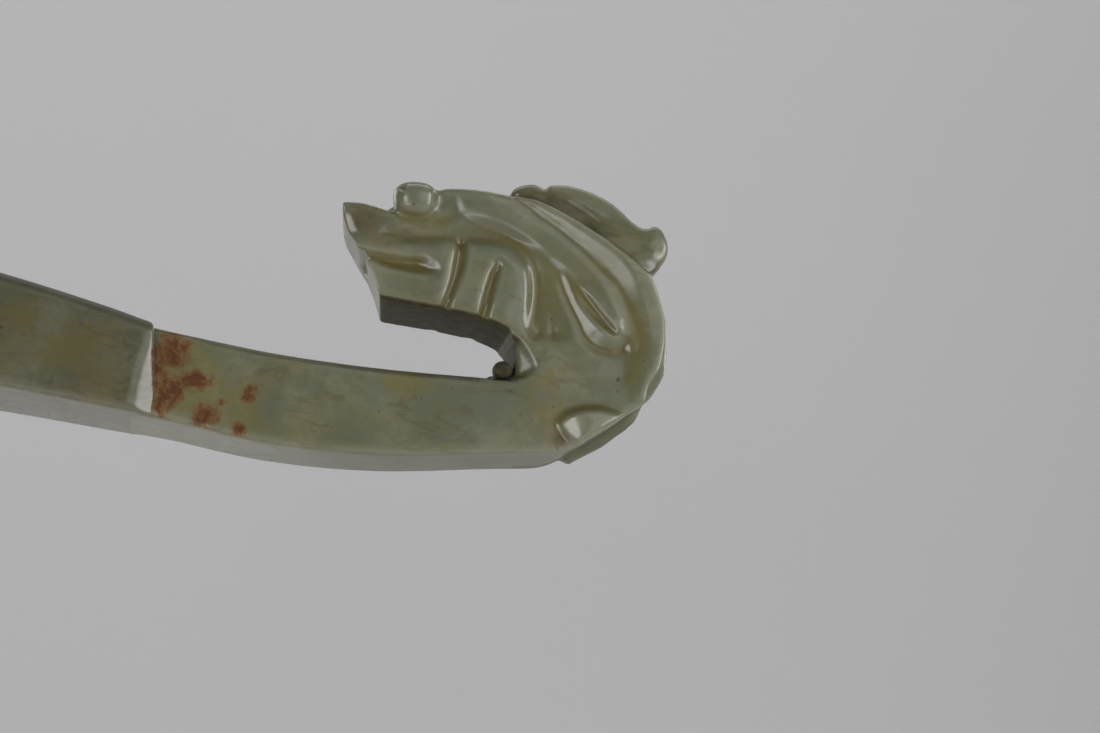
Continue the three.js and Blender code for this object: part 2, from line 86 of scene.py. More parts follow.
def track(stations):
    """A smooth curve through (place, value) stations, with slopes from the neighbours."""
    at = np.array([s[0] for s in stations], float)
    value = np.array([s[1] for s in stations], float)
    before, after = np.r_[0, np.arange(len(at) - 1)], np.r_[np.arange(1, len(at)), len(at) - 1]
    slope = (value[after] - value[before]) / (at[after] - at[before])

    def read(x):
        i = np.clip(np.searchsorted(at, x) - 1, 0, len(at) - 2)
        span = at[i + 1] - at[i]
        t = (x - at[i]) / span
        bend = t * t * (3 - 2 * t)
        leave = t * (1 - t) ** 2 * span * slope[i]
        arrive = t * t * (t - 1) * span * slope[i + 1]
        return value[i] + (value[i + 1] - value[i]) * bend + leave + arrive

    return read


SHAFT_AT = (TAIL_AT, ARCH_AT, SHOULDER_AT, WAIST_AT, REST_AT, THROAT_AT)
underside = track(list(zip(SHAFT_AT, (3.2, 5.2, 2.3, 0.55, 0, 0.7))))
thickness = track(list(zip(SHAFT_AT, (6.2, 10.2, 8, 7.7, 7.3, 6.6))))
body_width = track([(TAIL_AT, 11.5), (ARCH_AT, 16), (SHOULDER_AT, 14.2)])
neck_width = track([(SHOULDER_AT, 12), (THROAT_AT, 11)])
# How much higher the upper side stands than the CAD's
body_crown = track([(TAIL_AT, 0), (ARCH_AT, 0.45), (10, 0.75), (21, 0.8), (SHOULDER_AT, 0.45)])
neck_crown = track([(20, 0), (27, 0.05), (33, 0.4), (40, 0.55), (REST_AT, 0.5), (52, 0.3), (THROAT_AT, 0)])


# Fields
def smooth_max(a, b, k):
    h = np.maximum(k - np.abs(a - b), 0)
    return np.maximum(a, b) + h * h / (4 * k)


def smooth_min(a, b, k):
    return -smooth_max(-a, -b, k)


def ramp(low, high, value):
    """0 below low, 1 above high and smooth between."""
    t = np.clip((value - low) / (high - low), 0, 1)
    return t * t * (3 - 2 * t)


def through(points, steps=10):
    """A Catmull-Rom curve through rows of numbers."""
    p = np.vstack([2 * points[0] - points[1], points, 2 * points[-1] - points[-2]])
    t = np.linspace(0, 1, steps, endpoint=False)[:, None]
    parts = []
    for a, b, c, d in zip(p[:-3], p[1:-2], p[2:-1], p[3:]):
        square, cube = 2 * a - 5 * b + 4 * c - d, 3 * b - a - 3 * c + d
        parts.append(0.5 * (2 * b + (c - a) * t + square * t**2 + cube * t**3))
    return np.vstack(parts + [points[-1:]])


def curve(shares):
    """A smooth line through head shares, in millimetres."""
    return through(place(shares))


class Sheet:
    """A lattice over the side view, on which outlines and bands are measured."""

    def __init__(self, xs, zs):
        self.xs, self.zs = xs, zs
        self.x, self.z = np.meshgrid(xs, zs, indexing="ij")

    def nearest(self, line):
        """To a polyline: the distance, the side, the share of the way along and its other columns there.

        The side is + on the left of the line's run.
        """
        best = np.full(self.x.shape, np.inf)
        side = np.zeros_like(best)
        rest = [np.zeros_like(best) for _ in range(line.shape[1] - 2)]
        along = np.zeros_like(best)
        lengths = np.r_[0, np.cumsum(np.hypot(*np.diff(line[:, :2], axis=0).T))]
        for n, (a, b) in enumerate(zip(line[:-1], line[1:])):
            run = b[:2] - a[:2]
            size = max(run @ run, 1e-9)
            t = np.clip(((self.x - a[0]) * run[0] + (self.z - a[1]) * run[1]) / size, 0, 1)
            dx, dz = self.x - a[0] - t * run[0], self.z - a[1] - t * run[1]
            d = np.hypot(dx, dz)
            closer = d < best
            best = np.where(closer, d, best)
            side = np.where(closer, np.sign(run[0] * dz - run[1] * dx), side)
            along = np.where(closer, (lengths[n] + t * (lengths[n + 1] - lengths[n])) / lengths[-1], along)
            for k, field in enumerate(rest):
                rest[k] = np.where(closer, a[2 + k] + t * (b[2 + k] - a[2 + k]), field)
        return best, side, along, rest

    def outline(self, points):
        """Signed distance to a closed outline, negative inside."""
        closed = np.vstack([points, points[:1]])
        inside = np.zeros(self.x.shape, bool)
        for a, b in zip(closed[:-1], closed[1:]):
            crosses = (a[1] > self.z) != (b[1] > self.z)
            if abs(b[1] - a[1]) > 1e-12:
                at = a[0] + (self.z - a[1]) * (b[0] - a[0]) / (b[1] - a[1])
                inside ^= crosses & (self.x < at)
        distance = self.nearest(closed)[0]
        return np.where(inside, -distance, distance)


def blurred(a, radius):
    """A box blur run twice along each axis, radius in cells."""
    for _ in range(2):
        for axis in range(a.ndim):
            if radius[axis] < 1:
                continue
            r = int(radius[axis])
            edge = [(r + 1, r) if k == axis else (0, 0) for k in range(a.ndim)]
            total = np.cumsum(np.pad(a, edge, mode="edge"), axis=axis, dtype=np.float64)
            take = [slice(None)] * a.ndim
            take[axis] = slice(2 * r + 1, None)
            drop = [slice(None)] * a.ndim
            drop[axis] = slice(None, -(2 * r + 1))
            a = ((total[tuple(take)] - total[tuple(drop)]) / (2 * r + 1)).astype(np.float32)
    return a


# The carved outlines, as head shares
BEND = [
    (0, 0.06), (0.27, 0.09), (0.46, 0.2), (0.64, 0.34), (0.8, 0.48), (0.9, 0.62), (0.945, 0.75),
    (0.96, 0.96), (0.94, 1.15), (0.87, 1.34), (0.74, 1.47), (0.56, 1.61), (0.34, 1.74), (0.14, 1.82),
    (-0.06, 1.855), (-0.28, 1.885), (-0.4, 1.89), (-0.47, 1.875), (-0.52, 1.825), (-0.57, 1.775),
    (-0.66, 1.745), (-0.74, 1.742), (-0.8, 1.752), (-0.87, 1.772), (-0.94, 1.785), (-1.0, 1.787),
    (-1.1, 1.785), (-1.2, 1.785),
]
FRONT = [
    (-1.03, 2.2), (-1.04, 1.9), (-1.046, 1.77), (-1.045, 1.72), (-1.035, 1.67), (-1.013, 1.61),
    (-0.979, 1.55), (-0.941, 1.48), (-0.908, 1.42), (-0.882, 1.38), (-0.855, 1.32), (-0.83, 1.25),
    (-0.81, 1.18), (-0.76, 1.0), (-0.72, 0.85),
]
JAW_LINE = [
    (-1.2, 1.21), (-1, 1.195), (-0.81, 1.175), (-0.68, 1.155), (-0.43, 1.12), (-0.2, 1.075),
    (-0.06, 1.02), (-0.02, 0.97), (0, 0.93),
]
BROW_LOW = [
    (-0.505, 1.885), (-0.47, 1.875), (-0.43, 1.85), (-0.395, 1.815), (-0.375, 1.77), (-0.35, 1.735),
    (-0.27, 1.7), (-0.19, 1.675), (-0.086, 1.635), (0.013, 1.58), (0.105, 1.53), (0.205, 1.465),
    (0.306, 1.4), (0.373, 1.34), (0.449, 1.28), (0.53, 1.185), (0.6, 1.105), (0.65, 1.045),
    (0.685, 0.99),
]
BROW_HIGH = [
    (-0.5, 1.93), (-0.39, 1.95), (-0.25, 1.95), (-0.13, 1.92), (-0.02, 1.86), (0.064, 1.8),
    (0.148, 1.75), (0.249, 1.69), (0.333, 1.63), (0.417, 1.57), (0.485, 1.505), (0.565, 1.42),
    (0.62, 1.34), (0.66, 1.26), (0.69, 1.17), (0.703, 1.08), (0.71, 1.0),
]
VALLEY = [
    (-0.07, 1.86), (0.0, 1.83), (0.064, 1.8), (0.148, 1.75), (0.249, 1.69), (0.333, 1.63), (0.417, 1.57),
    (0.5, 1.505), (0.59, 1.42), (0.66, 1.34), (0.715, 1.26), (0.762, 1.17), (0.795, 1.08), (0.81, 1.0),
    (0.803, 0.919), (0.785, 0.802), (0.775, 0.697), (0.77, 0.6), (0.765, 0.48),
]
CREST = [
    (-0.07, 1.87), (0.06, 1.835), (0.18, 1.79), (0.297, 1.735), (0.39, 1.68), (0.482, 1.625),
    (0.565, 1.575), (0.65, 1.515), (0.727, 1.425), (0.785, 1.32), (0.83, 1.2), (0.868, 1.08),
    (0.888, 0.96), (0.885, 0.82), (0.868, 0.7), (0.845, 0.6), (0.81, 0.5),
]
BACK = [
    (-0.07, 1.88), (0.05, 1.872), (0.155, 1.85), (0.272, 1.8), (0.407, 1.73), (0.5, 1.675), (0.6, 1.61),
    (0.7, 1.54), (0.8, 1.47), (0.87, 1.415), (0.91, 1.36), (0.94, 1.29), (0.967, 1.21), (0.99, 1.13),
    (1.002, 1.05), (1.009, 0.96), (1.01, 0.88), (1.008, 0.8), (0.995, 0.715), (0.955, 0.625),
    (0.872, 0.505), (0.734, 0.392), (0.648, 0.313), (0.55, 0.237), (0.459, 0.168), (0.415, 0.142),
    (0.36, 0.185), (0.31, 0.24),
]
HOLD = [(0.285, 0.29), (0.3, 0.38), (0.6, 0.5), (0.75, 0.8), (0.7, 1.2), (0.4, 1.55), (0.0, 1.83)]
CREASE = [
    (1.0, 1.2), (0.985, 1.08), (0.974, 0.981), (0.959, 0.865), (0.945, 0.785), (0.904, 0.7),
    (0.876, 0.64), (0.86, 0.575), (0.855, 0.5),
]
INNER = [
    (0.706, 1.02), (0.722, 0.95), (0.729, 0.9), (0.73, 0.841), (0.727, 0.76), (0.723, 0.695),
    (0.71, 0.642), (0.668, 0.6), (0.6, 0.57),
]
LEAF = [
    (0.315, 0.235), (0.29, 0.275), (0.292, 0.315), (0.325, 0.36), (0.37, 0.39), (0.427, 0.413),
    (0.54, 0.428), (0.646, 0.412), (0.73, 0.385),
]
EAR = [
    (0.27, 1.43), (0.3, 1.36), (0.33, 1.29), (0.36, 1.225), (0.394, 1.15), (0.43, 1.08), (0.458, 1.02),
    (0.503, 0.958), (0.566, 0.92), (0.636, 0.905), (0.7, 0.92), (0.725, 0.975), (0.72, 1.05),
    (0.69, 1.13), (0.61, 1.14), (0.53, 1.23), (0.437, 1.32), (0.373, 1.37), (0.306, 1.42),
]
SLIT_LEFT = [
    (0.275, 1.42), (0.31, 1.335), (0.345, 1.27), (0.401, 1.205), (0.455, 1.145), (0.528, 1.07),
    (0.581, 1.03), (0.63, 1.0),
]
SLIT_RIGHT = [
    (0.29, 1.42), (0.373, 1.35), (0.449, 1.29), (0.53, 1.195), (0.6, 1.115), (0.648, 1.055),
    (0.668, 1.015),
]
MOUTH_HIGH = [
    (-1.1, 1.5), (-0.95, 1.49), (-0.855, 1.48), (-0.789, 1.47), (-0.717, 1.458), (-0.625, 1.44),
    (-0.56, 1.42), (-0.526, 1.4), (-0.506, 1.37),
]
MOUTH_LOW = [
    (-1.1, 1.43), (-0.95, 1.425), (-0.866, 1.405), (-0.806, 1.375), (-0.727, 1.355), (-0.622, 1.342),
    (-0.54, 1.338), (-0.508, 1.352),
]
CUTS = [
    (
        [
            (-0.383, 1.57), (-0.391, 1.47), (-0.402, 1.4), (-0.413, 1.32), (-0.436, 1.23),
            (-0.462, 1.15), (-0.475, 1.1),
        ],
        [
            (-0.305, 1.57), (-0.303, 1.49), (-0.31, 1.41), (-0.328, 1.34), (-0.358, 1.26), (-0.39, 1.17),
            (-0.41, 1.1),
        ],
    ),
    (
        [
            (-0.15, 1.43), (-0.175, 1.38), (-0.19, 1.33), (-0.21, 1.25), (-0.23, 1.16), (-0.245, 1.07),
            (-0.25, 1.04),
        ],
        [
            (-0.125, 1.45), (-0.105, 1.42), (-0.115, 1.35), (-0.135, 1.25), (-0.155, 1.16),
            (-0.175, 1.07), (-0.18, 1.04),
        ],
    ),
]
CHEEK = [
    (-1.1, 1.45), (-0.98, 1.475), (-0.9, 1.495), (-0.82, 1.505), (-0.72, 1.525), (-0.63, 1.545),
    (-0.53, 1.56), (-0.37, 1.573), (-0.24, 1.573), (-0.11, 1.565), (-0.03, 1.53), (0.04, 1.46),
    (0.08, 1.37), (0.095, 1.27), (0.085, 1.17), (0.055, 1.09), (0.02, 1.045),
]
HORN = [
    (0.03, 1.76), (-0.03, 1.83), (-0.05, 1.89), (-0.035, 1.93), (-0.01, 1.955), (0.04, 1.975),
    (0.11, 1.982), (0.178, 1.955), (0.2, 1.975), (0.24, 1.985), (0.337, 1.985), (0.47, 1.955),
    (0.59, 1.905), (0.675, 1.85), (0.761, 1.775), (0.829, 1.735), (0.875, 1.735), (0.92, 1.75),
    (0.965, 1.725), (1.0, 1.67), (1.015, 1.61), (1.0, 1.55), (0.97, 1.5), (0.92, 1.44), (0.8, 1.38),
    (0.6, 1.4), (0.4, 1.5), (0.1, 1.65),
]
KEEL = [
    (0.04, 1.72), (0, 1.86), (0.1, 1.93), (0.34, 1.92), (0.54, 1.87), (0.7, 1.77), (0.84, 1.64),
    (0.92, 1.6), (0.96, 1.57), (0.9, 1.44), (0.7, 1.4),
]
HORN_RIM = [
    (-0.12, 1.9), (-0.04, 1.91), (0.063, 1.912), (0.147, 1.9), (0.247, 1.905), (0.32, 1.9),
    (0.38, 1.872), (0.457, 1.828), (0.533, 1.778), (0.601, 1.73), (0.64, 1.69),
]
FACE_VALLEY = [
    (-0.78, 1.6, 0.35), (-0.7, 1.59, 0.5), (-0.6, 1.585, 0.7), (-0.48, 1.595, 0.8), (-0.36, 1.605, 0.8),
    (-0.22, 1.605, 0.8), (-0.1, 1.59, 0.7), (0.0, 1.55, 0.7), (0.07, 1.48, 0.65), (0.115, 1.4, 0.65),
    (0.13, 1.28, 0.7), (0.12, 1.15, 0.7), (0.085, 1.05, 0.6),
]
EYE_VALLEY = [
    (-0.72, 1.725, 0.5), (-0.64, 1.695, 0.9), (-0.56, 1.68, 1), (-0.47, 1.69, 0.9), (-0.41, 1.715, 0.5),
]
GILL_FOOT = [
    (0.03, 0.955, 0.4), (0.12, 0.95, 1), (0.22, 0.945, 1), (0.3, 0.95, 0.9), (0.38, 0.955, 0.3),
]


# The neck and the head
def head_lattice():
    """The planes of the head's lattice along x, y and z: coarse on the neck and fine on the head."""
    step, step_y = ((0.171, 0.25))
    coarse, fine_from, reach_y = 2 * step, 41, 7.6
    xs = np.r_[np.arange(SHOULDER - 2.2, fine_from, coarse), np.arange(fine_from, THROAT + DEPTH + 1.6, step)]
    ys = np.arange(-reach_y, reach_y + step, step_y)
    zs = np.arange(-0.6, JAW + SKULL + 0.7, step)
    return xs, ys, zs


def between(sheet, first, second):
    """Inside mask, the share of the way from the first line to the second, and the distances to both."""
    one, two = curve(first), curve(second)
    inside = sheet.outline(np.vstack([one, two[::-1]])) < 0
    to_first, to_second = sheet.nearest(one)[0], sheet.nearest(two)[0]
    return inside, to_first / np.maximum(to_first + to_second, 1e-6), to_first, to_second


def relief(sheet):
    """Half the head's width over the side view, and the olive stain of its grooves and valleys (0..1)."""
    half = np.where(sheet.x < THROAT, neck_width(np.clip(sheet.x, SHOULDER_AT, THROAT)) / 2, HALF)
    along = np.clip(sheet.x, SHOULDER_AT, THROAT)
    low, tall = underside(along), thickness(along) + neck_crown(along)
    share = np.clip((sheet.z - low) / tall * 2 - 1, -1, 1)
    on_neck = 1 - ramp(THROAT - 3, THROAT + 2, sheet.x)
    height = half - 0.22 * share**4 * on_neck * (sheet.z < JAW - 2)
    u = (sheet.x - THROAT) / DEPTH
    v = np.where(sheet.z < JAW, sheet.z / JAW, 1 + (sheet.z - JAW) / SKULL)
    stain = np.zeros_like(height)

    def floor(depth, walls, first, second, fade=1):
        """Cuts a flat-floored groove between two lines, shallower where fade is less than 1."""
        within, _, one, two = between(sheet, first, second)
        bed = within * ramp(0, walls[0], one) * ramp(0, walls[1], two) * fade
        return height - depth * bed, np.maximum(stain, bed)

    def near(points, width):
        """1 on a line of (u, v, width share) and 0 past its width."""
        distance, _, along, (share,) = sheet.nearest(curve(points))
        return 1 - ramp(0, width, distance / share), along

    # The snout is a little hollow. Valleys run under the eye and over and behind the cheek
    dip, along = near(FACE_VALLEY, 1.5)
    height = height - 0.25 * ramp(1.48, 1.62, v) - 0.22 * dip
    stain = np.maximum(stain, (0.5 + 0.2 * ramp(0.5, 0.8, along)) * dip)
    dip, _ = near(EYE_VALLEY, 1.2)
    height = height - 0.12 * dip
    stain = np.maximum(stain, 0.85 * dip)
    # the nose's edges are chamfered
    to_front = sheet.nearest(curve(FRONT))[0]
    height = height - (
        0.35 * (1 - ramp(0, 0.9, to_front)) * ramp(1.5, 1.6, v) * (1 - ramp(1.66, 1.78, v)) * (u < 0)
    )

    # Throat: the corner is worn away into a facet that faces forward
    reach = np.interp(v, [0.66, 0.7, 0.75, 0.88, 0.94], [0.9, 1.7, 2.0, 0.95, 0.4])
    facet = 0.12 + 0.47 * (THROAT + 1.9 - sheet.x) - 0.15 * (sheet.z - 0.76 * JAW)
    patch = ramp(-0.05, 0.2, reach - (sheet.x - THROAT)) * ramp(0.64, 0.67, v) * (1 - ramp(0.92, 0.96, v))
    height = height - np.clip(facet, 0, 1.5) * patch * ramp(THROAT - 2.6, THROAT - 1.3, sheet.x)

    # Gill flutes between the cheek and the ear, fanned out below and cut off by a line
    land = ramp(0.93, 1.0, v) * (1 - ramp(1.35, 1.5, v)) * ramp(0.05, 0.12, u) * (1 - ramp(0.18, 0.42, u))
    fan = (u - 0.2) / (0.092 - 0.03 * ramp(1.0, 1.4, v))
    flute = 0.5 - 0.5 * np.cos(2 * np.pi * np.clip(fan, -1, 1.5))
    feet = ramp(0.94, 0.99, v) * (1 - ramp(1.0, 1.14, v)) * (u < 0.34)
    height = height - 0.3 * land - (0.02 * land + 0.17 * feet * land**0.5) * flute
    stain = np.maximum(stain, land * (0.3 + 0.3 * flute))
    foot_line, _ = near(GILL_FOOT, 0.8)
    stain = np.maximum(stain, 0.5 * foot_line)

    # Cheek: a pillow with a soft top edge and a firmer jaw edge
    cheek = np.vstack([curve(CHEEK), curve(JAW_LINE[:7])[::-1] - (0, 0.4)])
    inside = -sheet.outline(cheek)
    bevel = 1.4 + 1.4 * ramp(1.26, 1.1, v)
    pillow = 1 - np.clip(1 - inside / bevel, 0, 1) ** 2
    height = height + (HALF + 0.45 - height) * pillow * (inside > 0)
    stain = stain * (1 - ramp(0, 0.5, inside))
    jaw_edge = 1 - ramp(0.1, 0.9, sheet.nearest(curve(JAW_LINE))[0])
    stain = np.maximum(stain, 0.9 * jaw_edge)
    # the lip above the mouth rolls into the groove, most near its end
    distance, _, along, _ = sheet.nearest(curve(MOUTH_HIGH[2:]))
    roll = np.clip(1 - distance / 1.05, 0, 1) ** 1.4 * ramp(0.1, 0.75, along)
    height = height - 0.5 * roll
    (mouth_end, _), = place([(-0.49, 1.4)])
    tight = ramp(mouth_end - 3, mouth_end - 1, sheet.x)
    walls = (0.25 - 0.13 * tight, 0.35 - 0.2 * tight)
    height, stain = floor(0.65, walls, MOUTH_HIGH, MOUTH_LOW, np.clip((mouth_end - sheet.x) / 1.5, 0, 1))
    for left, right in CUTS:
        height, stain = floor(0.65, (0.6, 0.2), left, right)

    # Ear: a leaf whose face tilts forward from the slit beside the brow
    left = curve(EAR[:12])
    inside = -sheet.outline(curve(EAR + EAR[:1]))
    to_left = sheet.nearest(left)[0]
    full = ramp(1.44, 1.25, v)
    moat = (1 - ramp(0, 1.1, to_left)) * full * (u < 0.76) * (inside < 0)
    height = height - 0.22 * moat
    stain = np.maximum(stain, 0.9 * moat)
    tilt = smooth_min(0.5 * to_left, 0.85, 0.2)
    lobe = HALF - 0.2 + full * (0.1 * ramp(0, 0.2, inside) + tilt)
    height = np.where(inside > 0, np.maximum(height, lobe), height)
    stain = stain * (1 - ramp(0, 0.3, inside))

    # Brow: it stands up from a crisp lower edge and sinks a little to the mane's valley
    within, t, one, _ = between(sheet, BROW_LOW, BROW_HIGH)
    us = np.where(u < 0, u * DEPTH / SNOUT, u)
    start = ramp(-0.46, -0.18, us)
    bold = ramp(-0.42, -0.34, us) * (1 - ramp(-0.2, 0.15, us))
    crisp = ramp(-0.4, -0.33, us) * (1 - ramp(-0.2, -0.1, us))
    crisp = crisp + ramp(0.12, 0.28, us) * (1 - ramp(0.33, 0.48, us))
    top = HALF + 0.2 + 0.2 * bold + 0.3 * start * t - 0.2 * ramp(0.6, 1, t)
    soft, hard = ramp(0, 0.85, one), 1 - (1 - np.clip(one / 0.9, 0, 1)) ** 2
    rise = (soft + (hard - soft) * crisp) * (0.1 + 0.9 * start)
    height = np.where(within, height + (top - height) * rise, height)
    stain = stain * (1 - within * ramp(0, 0.35, one))
    edge_line, _ = near([(*at, 1) for at in BROW_LOW[6:14]], 0.7)
    stain = np.maximum(stain, 0.75 * edge_line * (1 - within))
    within, _, one, two = between(sheet, SLIT_LEFT, SLIT_RIGHT)
    bed = ramp(0, 0.3, one) * ramp(0, 0.14, two)
    height = np.where(within, height + (HALF + 0.02 - height) * bed, height)
    stain = np.maximum(stain, 0.85 * within * bed)

    # Mane: it rises from its valley to a crest, then goes on flat to its rim
    low_down = ramp(1.5, 1.2, v)
    fade = ramp(0.5, 0.72, v)
    bed_level = HALF + 0.45 - 0.3 * low_down - 0.1 * (1 - fade)
    lifts = [0.05, 0.26, 0.38, 0.5, 0.57, 0.64, 0.72, 0.8, 0.72, 0.5, 0.3, 0.2, 0.15, 0.12, 0.1, 0.05, 0]
    lift = sheet.nearest(curve([(*at, up) for at, up in zip(CREST, lifts)]))[3][0]
    top_level = bed_level + lift
    within, t, _, _ = between(sheet, VALLEY, CREST)
    rise = bed_level + lift * np.clip(t, 0, 1)
    height = np.where(within & (v > 0.5), rise, height)
    within = between(sheet, CREST, BACK)[0]
    height = np.where(within & (v > 0.5), top_level, height)
    # the strip between the ear's end and the valley has a rim that faces forward
    within, t, one, _ = between(sheet, INNER, VALLEY[11:18])
    lip = 0.24 + 0.1 * np.cos(2 * np.pi * (v - 0.92) / 0.125)
    strip = HALF + lip * np.clip(one / 0.62, 0, 1) * ramp(0.56, 0.66, v) + (bed_level - HALF - lip) * t
    height = np.where(within & (v > 0.5), np.maximum(strip, height), height)
    # the brow's far side runs out into the valley's bed
    within = between(sheet, BROW_HIGH[9:], VALLEY[6:14])[0]
    height = np.where(within, bed_level, height)
    # low on the neck the mane dies out into the side
    melt = ramp(0.62, 0.4, v) * ramp(0.58, 0.72, u)
    height = height + melt * (HALF + 0.1 - height) * (height > HALF + 0.1)
    line, _ = near([(*at, 1 + 0.8 * ramp(1.5, 1.0, at[1])) for at in VALLEY[1:18]], 0.75)
    clean_rim = ramp(HALF + 0.3, HALF + 0.5, height) * (u > 0.75)
    stain = np.maximum(stain * (1 - clean_rim), line * (0.35 + 0.45 * low_down) * fade)
    # outside the crease the rim falls away
    distance, side, along, _ = sheet.nearest(curve(CREASE))
    out = distance * (side > 0) * (v > 0.4) * (u > 0.8)
    height = height - ramp(0, 0.25, along) * 1.2 * out

    # Leaf: the mane's curled end, highest in its middle, that falls away to its tip
    leaf = np.vstack([curve(LEAF), curve(BACK[21:])])
    inside = -sheet.outline(leaf)
    (tip_x, tip_z), (mid_x, _), (end_x, _) = place([(0.29, 0.28), (0.5, 0.3), (0.74, 0.38)])
    crown = 1.1 - 0.8 * ramp(mid_x, end_x, sheet.x)
    swell = smooth_min(0.2 + 0.46 * (sheet.x - tip_x) + 0.17 * (sheet.z - tip_z), crown, 0.25)
    to_top = sheet.nearest(curve(LEAF))[0]
    climb = np.clip(to_top / 0.4, 0, 1)
    pillow = HALF + swell * np.sqrt(climb * (2 - climb))
    height = np.where(inside > -0.02, np.maximum(pillow, HALF), height)
    edge_line = 1 - ramp(0, 0.5, sheet.nearest(curve(LEAF[1:]))[0])
    stain = np.maximum(stain * (1 - ramp(0, 0.3, inside)), 0.75 * edge_line)
    return height, np.clip(stain, 0, 1)


def head_field(xs, ys, zs):
    sheet = Sheet(xs, zs)
    neck_x = np.arange(SHOULDER - 4, THROAT, 0.6)
    low = np.c_[neck_x, underside(neck_x)]
    high = np.c_[neck_x, underside(neck_x) + thickness(neck_x) + neck_crown(neck_x)][::-1]
    core = np.vstack([
        low,
        curve(BEND),
        curve(JAW_LINE),
        [(THROAT, underside(THROAT) + thickness(THROAT))],
        high,
    ])
    middle = sheet.outline(core)
    lock_line = np.vstack([curve(BACK), place(HOLD)])
    brow = sheet.outline(np.vstack([curve(BROW_LOW), curve(BROW_HIGH)[::-1]]))
    brow = smooth_max(brow, middle - 0.25, 0.3)
    # the right leaf hangs a little lower and further back than the left one
    low_end = lock_line[:, 1]
    drop_x = -0.6 * ramp(JAW - 4, JAW - 9, low_end)
    drop_z = 0.55 * ramp(JAW + 1, JAW - 5, low_end) - 0.35 * ramp(JAW - 7, JAW - 10, low_end)
    right_line = lock_line - np.c_[drop_x, drop_z]
    left, right = (
        smooth_min(smooth_min(middle, sheet.outline(line), 0.2), brow, 0.3)
        for line in (lock_line, right_line)
    )
    side = np.where((ys > 0)[None, :, None], right[:, None, :], left[:, None, :])
    width, stain = relief(sheet)
    width = blurred(width.astype(np.float32), (1, 1))
    slope = np.hypot(*np.gradient(width, xs, zs))
    steep = np.sqrt(1 + np.minimum(slope, 3) ** 2)

    y = np.abs(ys)[None, :, None]
    part = ramp(3.4, 4.4, y)
    v = (sheet.z - JAW) / SKULL + 1
    edge = 0.5 + 0.15 * (1 - ramp(JAW - 3, JAW - 1, sheet.z)) * (1 - ramp(THROAT - 1, THROAT + 4, sheet.x))
    edge = edge - 0.2 * (1 - ramp(JAW - 5, JAW - 3, sheet.z)) * ramp(THROAT + 2, THROAT + 6, sheet.x)
    edge = edge + 0.25 * ramp(1.4, 1.6, v) * ramp(THROAT - 2, THROAT + 3, sheet.x)
    plan = middle[:, None, :] * (1 - part) + side * part
    field = smooth_max(plan, (y - width[:, None, :]) / steep[:, None, :], edge[:, None, :])

    # Front of the snout: a cut that slants back towards the jaw and, a little, towards the far side
    distance, sign, _, _ = sheet.nearest(curve(FRONT))
    cut = np.where((sheet.x < THROAT - 4) & (sheet.z > JAW - 1.2), -distance * sign, -6)[:, None, :]
    cut = cut + 0.075 * (ys + HALF)[None, :, None]
    field = smooth_max(field, cut, 0.2)

    # Eyes: eggs that bulge over the edge of the snout and run down into its side, each with a nook behind it
    (eye_x, eye_z), (nook_x, nook_z) = place([(-0.617, 1.838), (-0.462, 1.82)])
    x, z = sheet.x[:, None, :], sheet.z[:, None, :]
    nook = np.sqrt(((x - nook_x) / 0.9) ** 2 + ((y - 6.3) / 1.0) ** 2 + ((z - nook_z) / 0.8) ** 2)
    field = smooth_max(field, (1 - nook) * 0.8, 0.5)
    eye_y, half_length, half_width, rise, sink = 4.7, 1.98, 1.9, 1.42, 1.95
    across, deep = np.abs(x - eye_x) / half_length, np.abs(y - eye_y) / half_width
    up = np.abs(z - eye_z) / np.where(z < eye_z, sink, rise)
    reach = (across**2.5 + deep**2.3 + up**2.3) ** 0.42
    field = smooth_min(field, (reach - 1) * 1.5, 0.5)
    dent = np.sqrt((x - eye_x + 1.25) ** 2 + (y - 6.1) ** 2 + (z - eye_z - 0.7) ** 2)
    field = smooth_max(field, 0.34 - dent, 0.1)

    # The mouth's groove goes on round the front of the snout
    (_, lip_z), = place([(-0.9, 1.44)])
    lip = np.maximum(np.abs(z - lip_z - 0.1) - 0.45, -(cut + 0.45)) + 10 * (x > THROAT - 10)
    lip = lip + ramp(1.5, 4, ys)[None, :, None]
    field = smooth_max(field, -lip, 0.25)

    # Horns: two lobed slabs with a low keel between them
    horn = sheet.outline(curve(HORN))
    distance, side_of, along, _ = sheet.nearest(curve(HORN_RIM))
    sunk = (side_of < 0) * ramp(0, 0.45, distance) * (1 - ramp(0.72, 1.0, along))
    to_mane = sheet.nearest(curve(BACK[6:10]))[0]
    thick = 2.15 - 0.22 * sunk - 0.35 * (1 - ramp(0, 1.6, -horn)) + 0.8 * (1 - ramp(0, 2.6, to_mane))
    rim_line = (1 - ramp(0.1, 0.5, distance)) * (side_of < 0) * ramp(0.3, 0.5, along) * (horn < 0)
    stain = np.maximum(stain, 0.7 * rim_line)
    horn_y, keel_half = 2.6, 0.6
    slab = smooth_max(horn[:, None, :], np.abs(y - horn_y) - thick[:, None, :], 0.7)
    keel = smooth_max(sheet.outline(curve(KEEL))[:, None, :], y - keel_half, 0.5)
    field = smooth_min(field, smooth_min(slab, keel, 0.3), 0.3)

    # Bead in the throat's corner
    bead_z = underside(THROAT) + thickness(THROAT) + 1.0
    bead = np.hypot((sheet.x - THROAT + 1.0) / 1.1, sheet.z - bead_z)[:, None, :]
    bead = bead - 0.45 - 0.35 * ramp(2.6, 3.6, y)
    field = smooth_min(field, smooth_max(bead, y - 5, 0.6), 0.15)
    return field.astype(np.float32), blurred(stain.astype(np.float32), (1, 1))


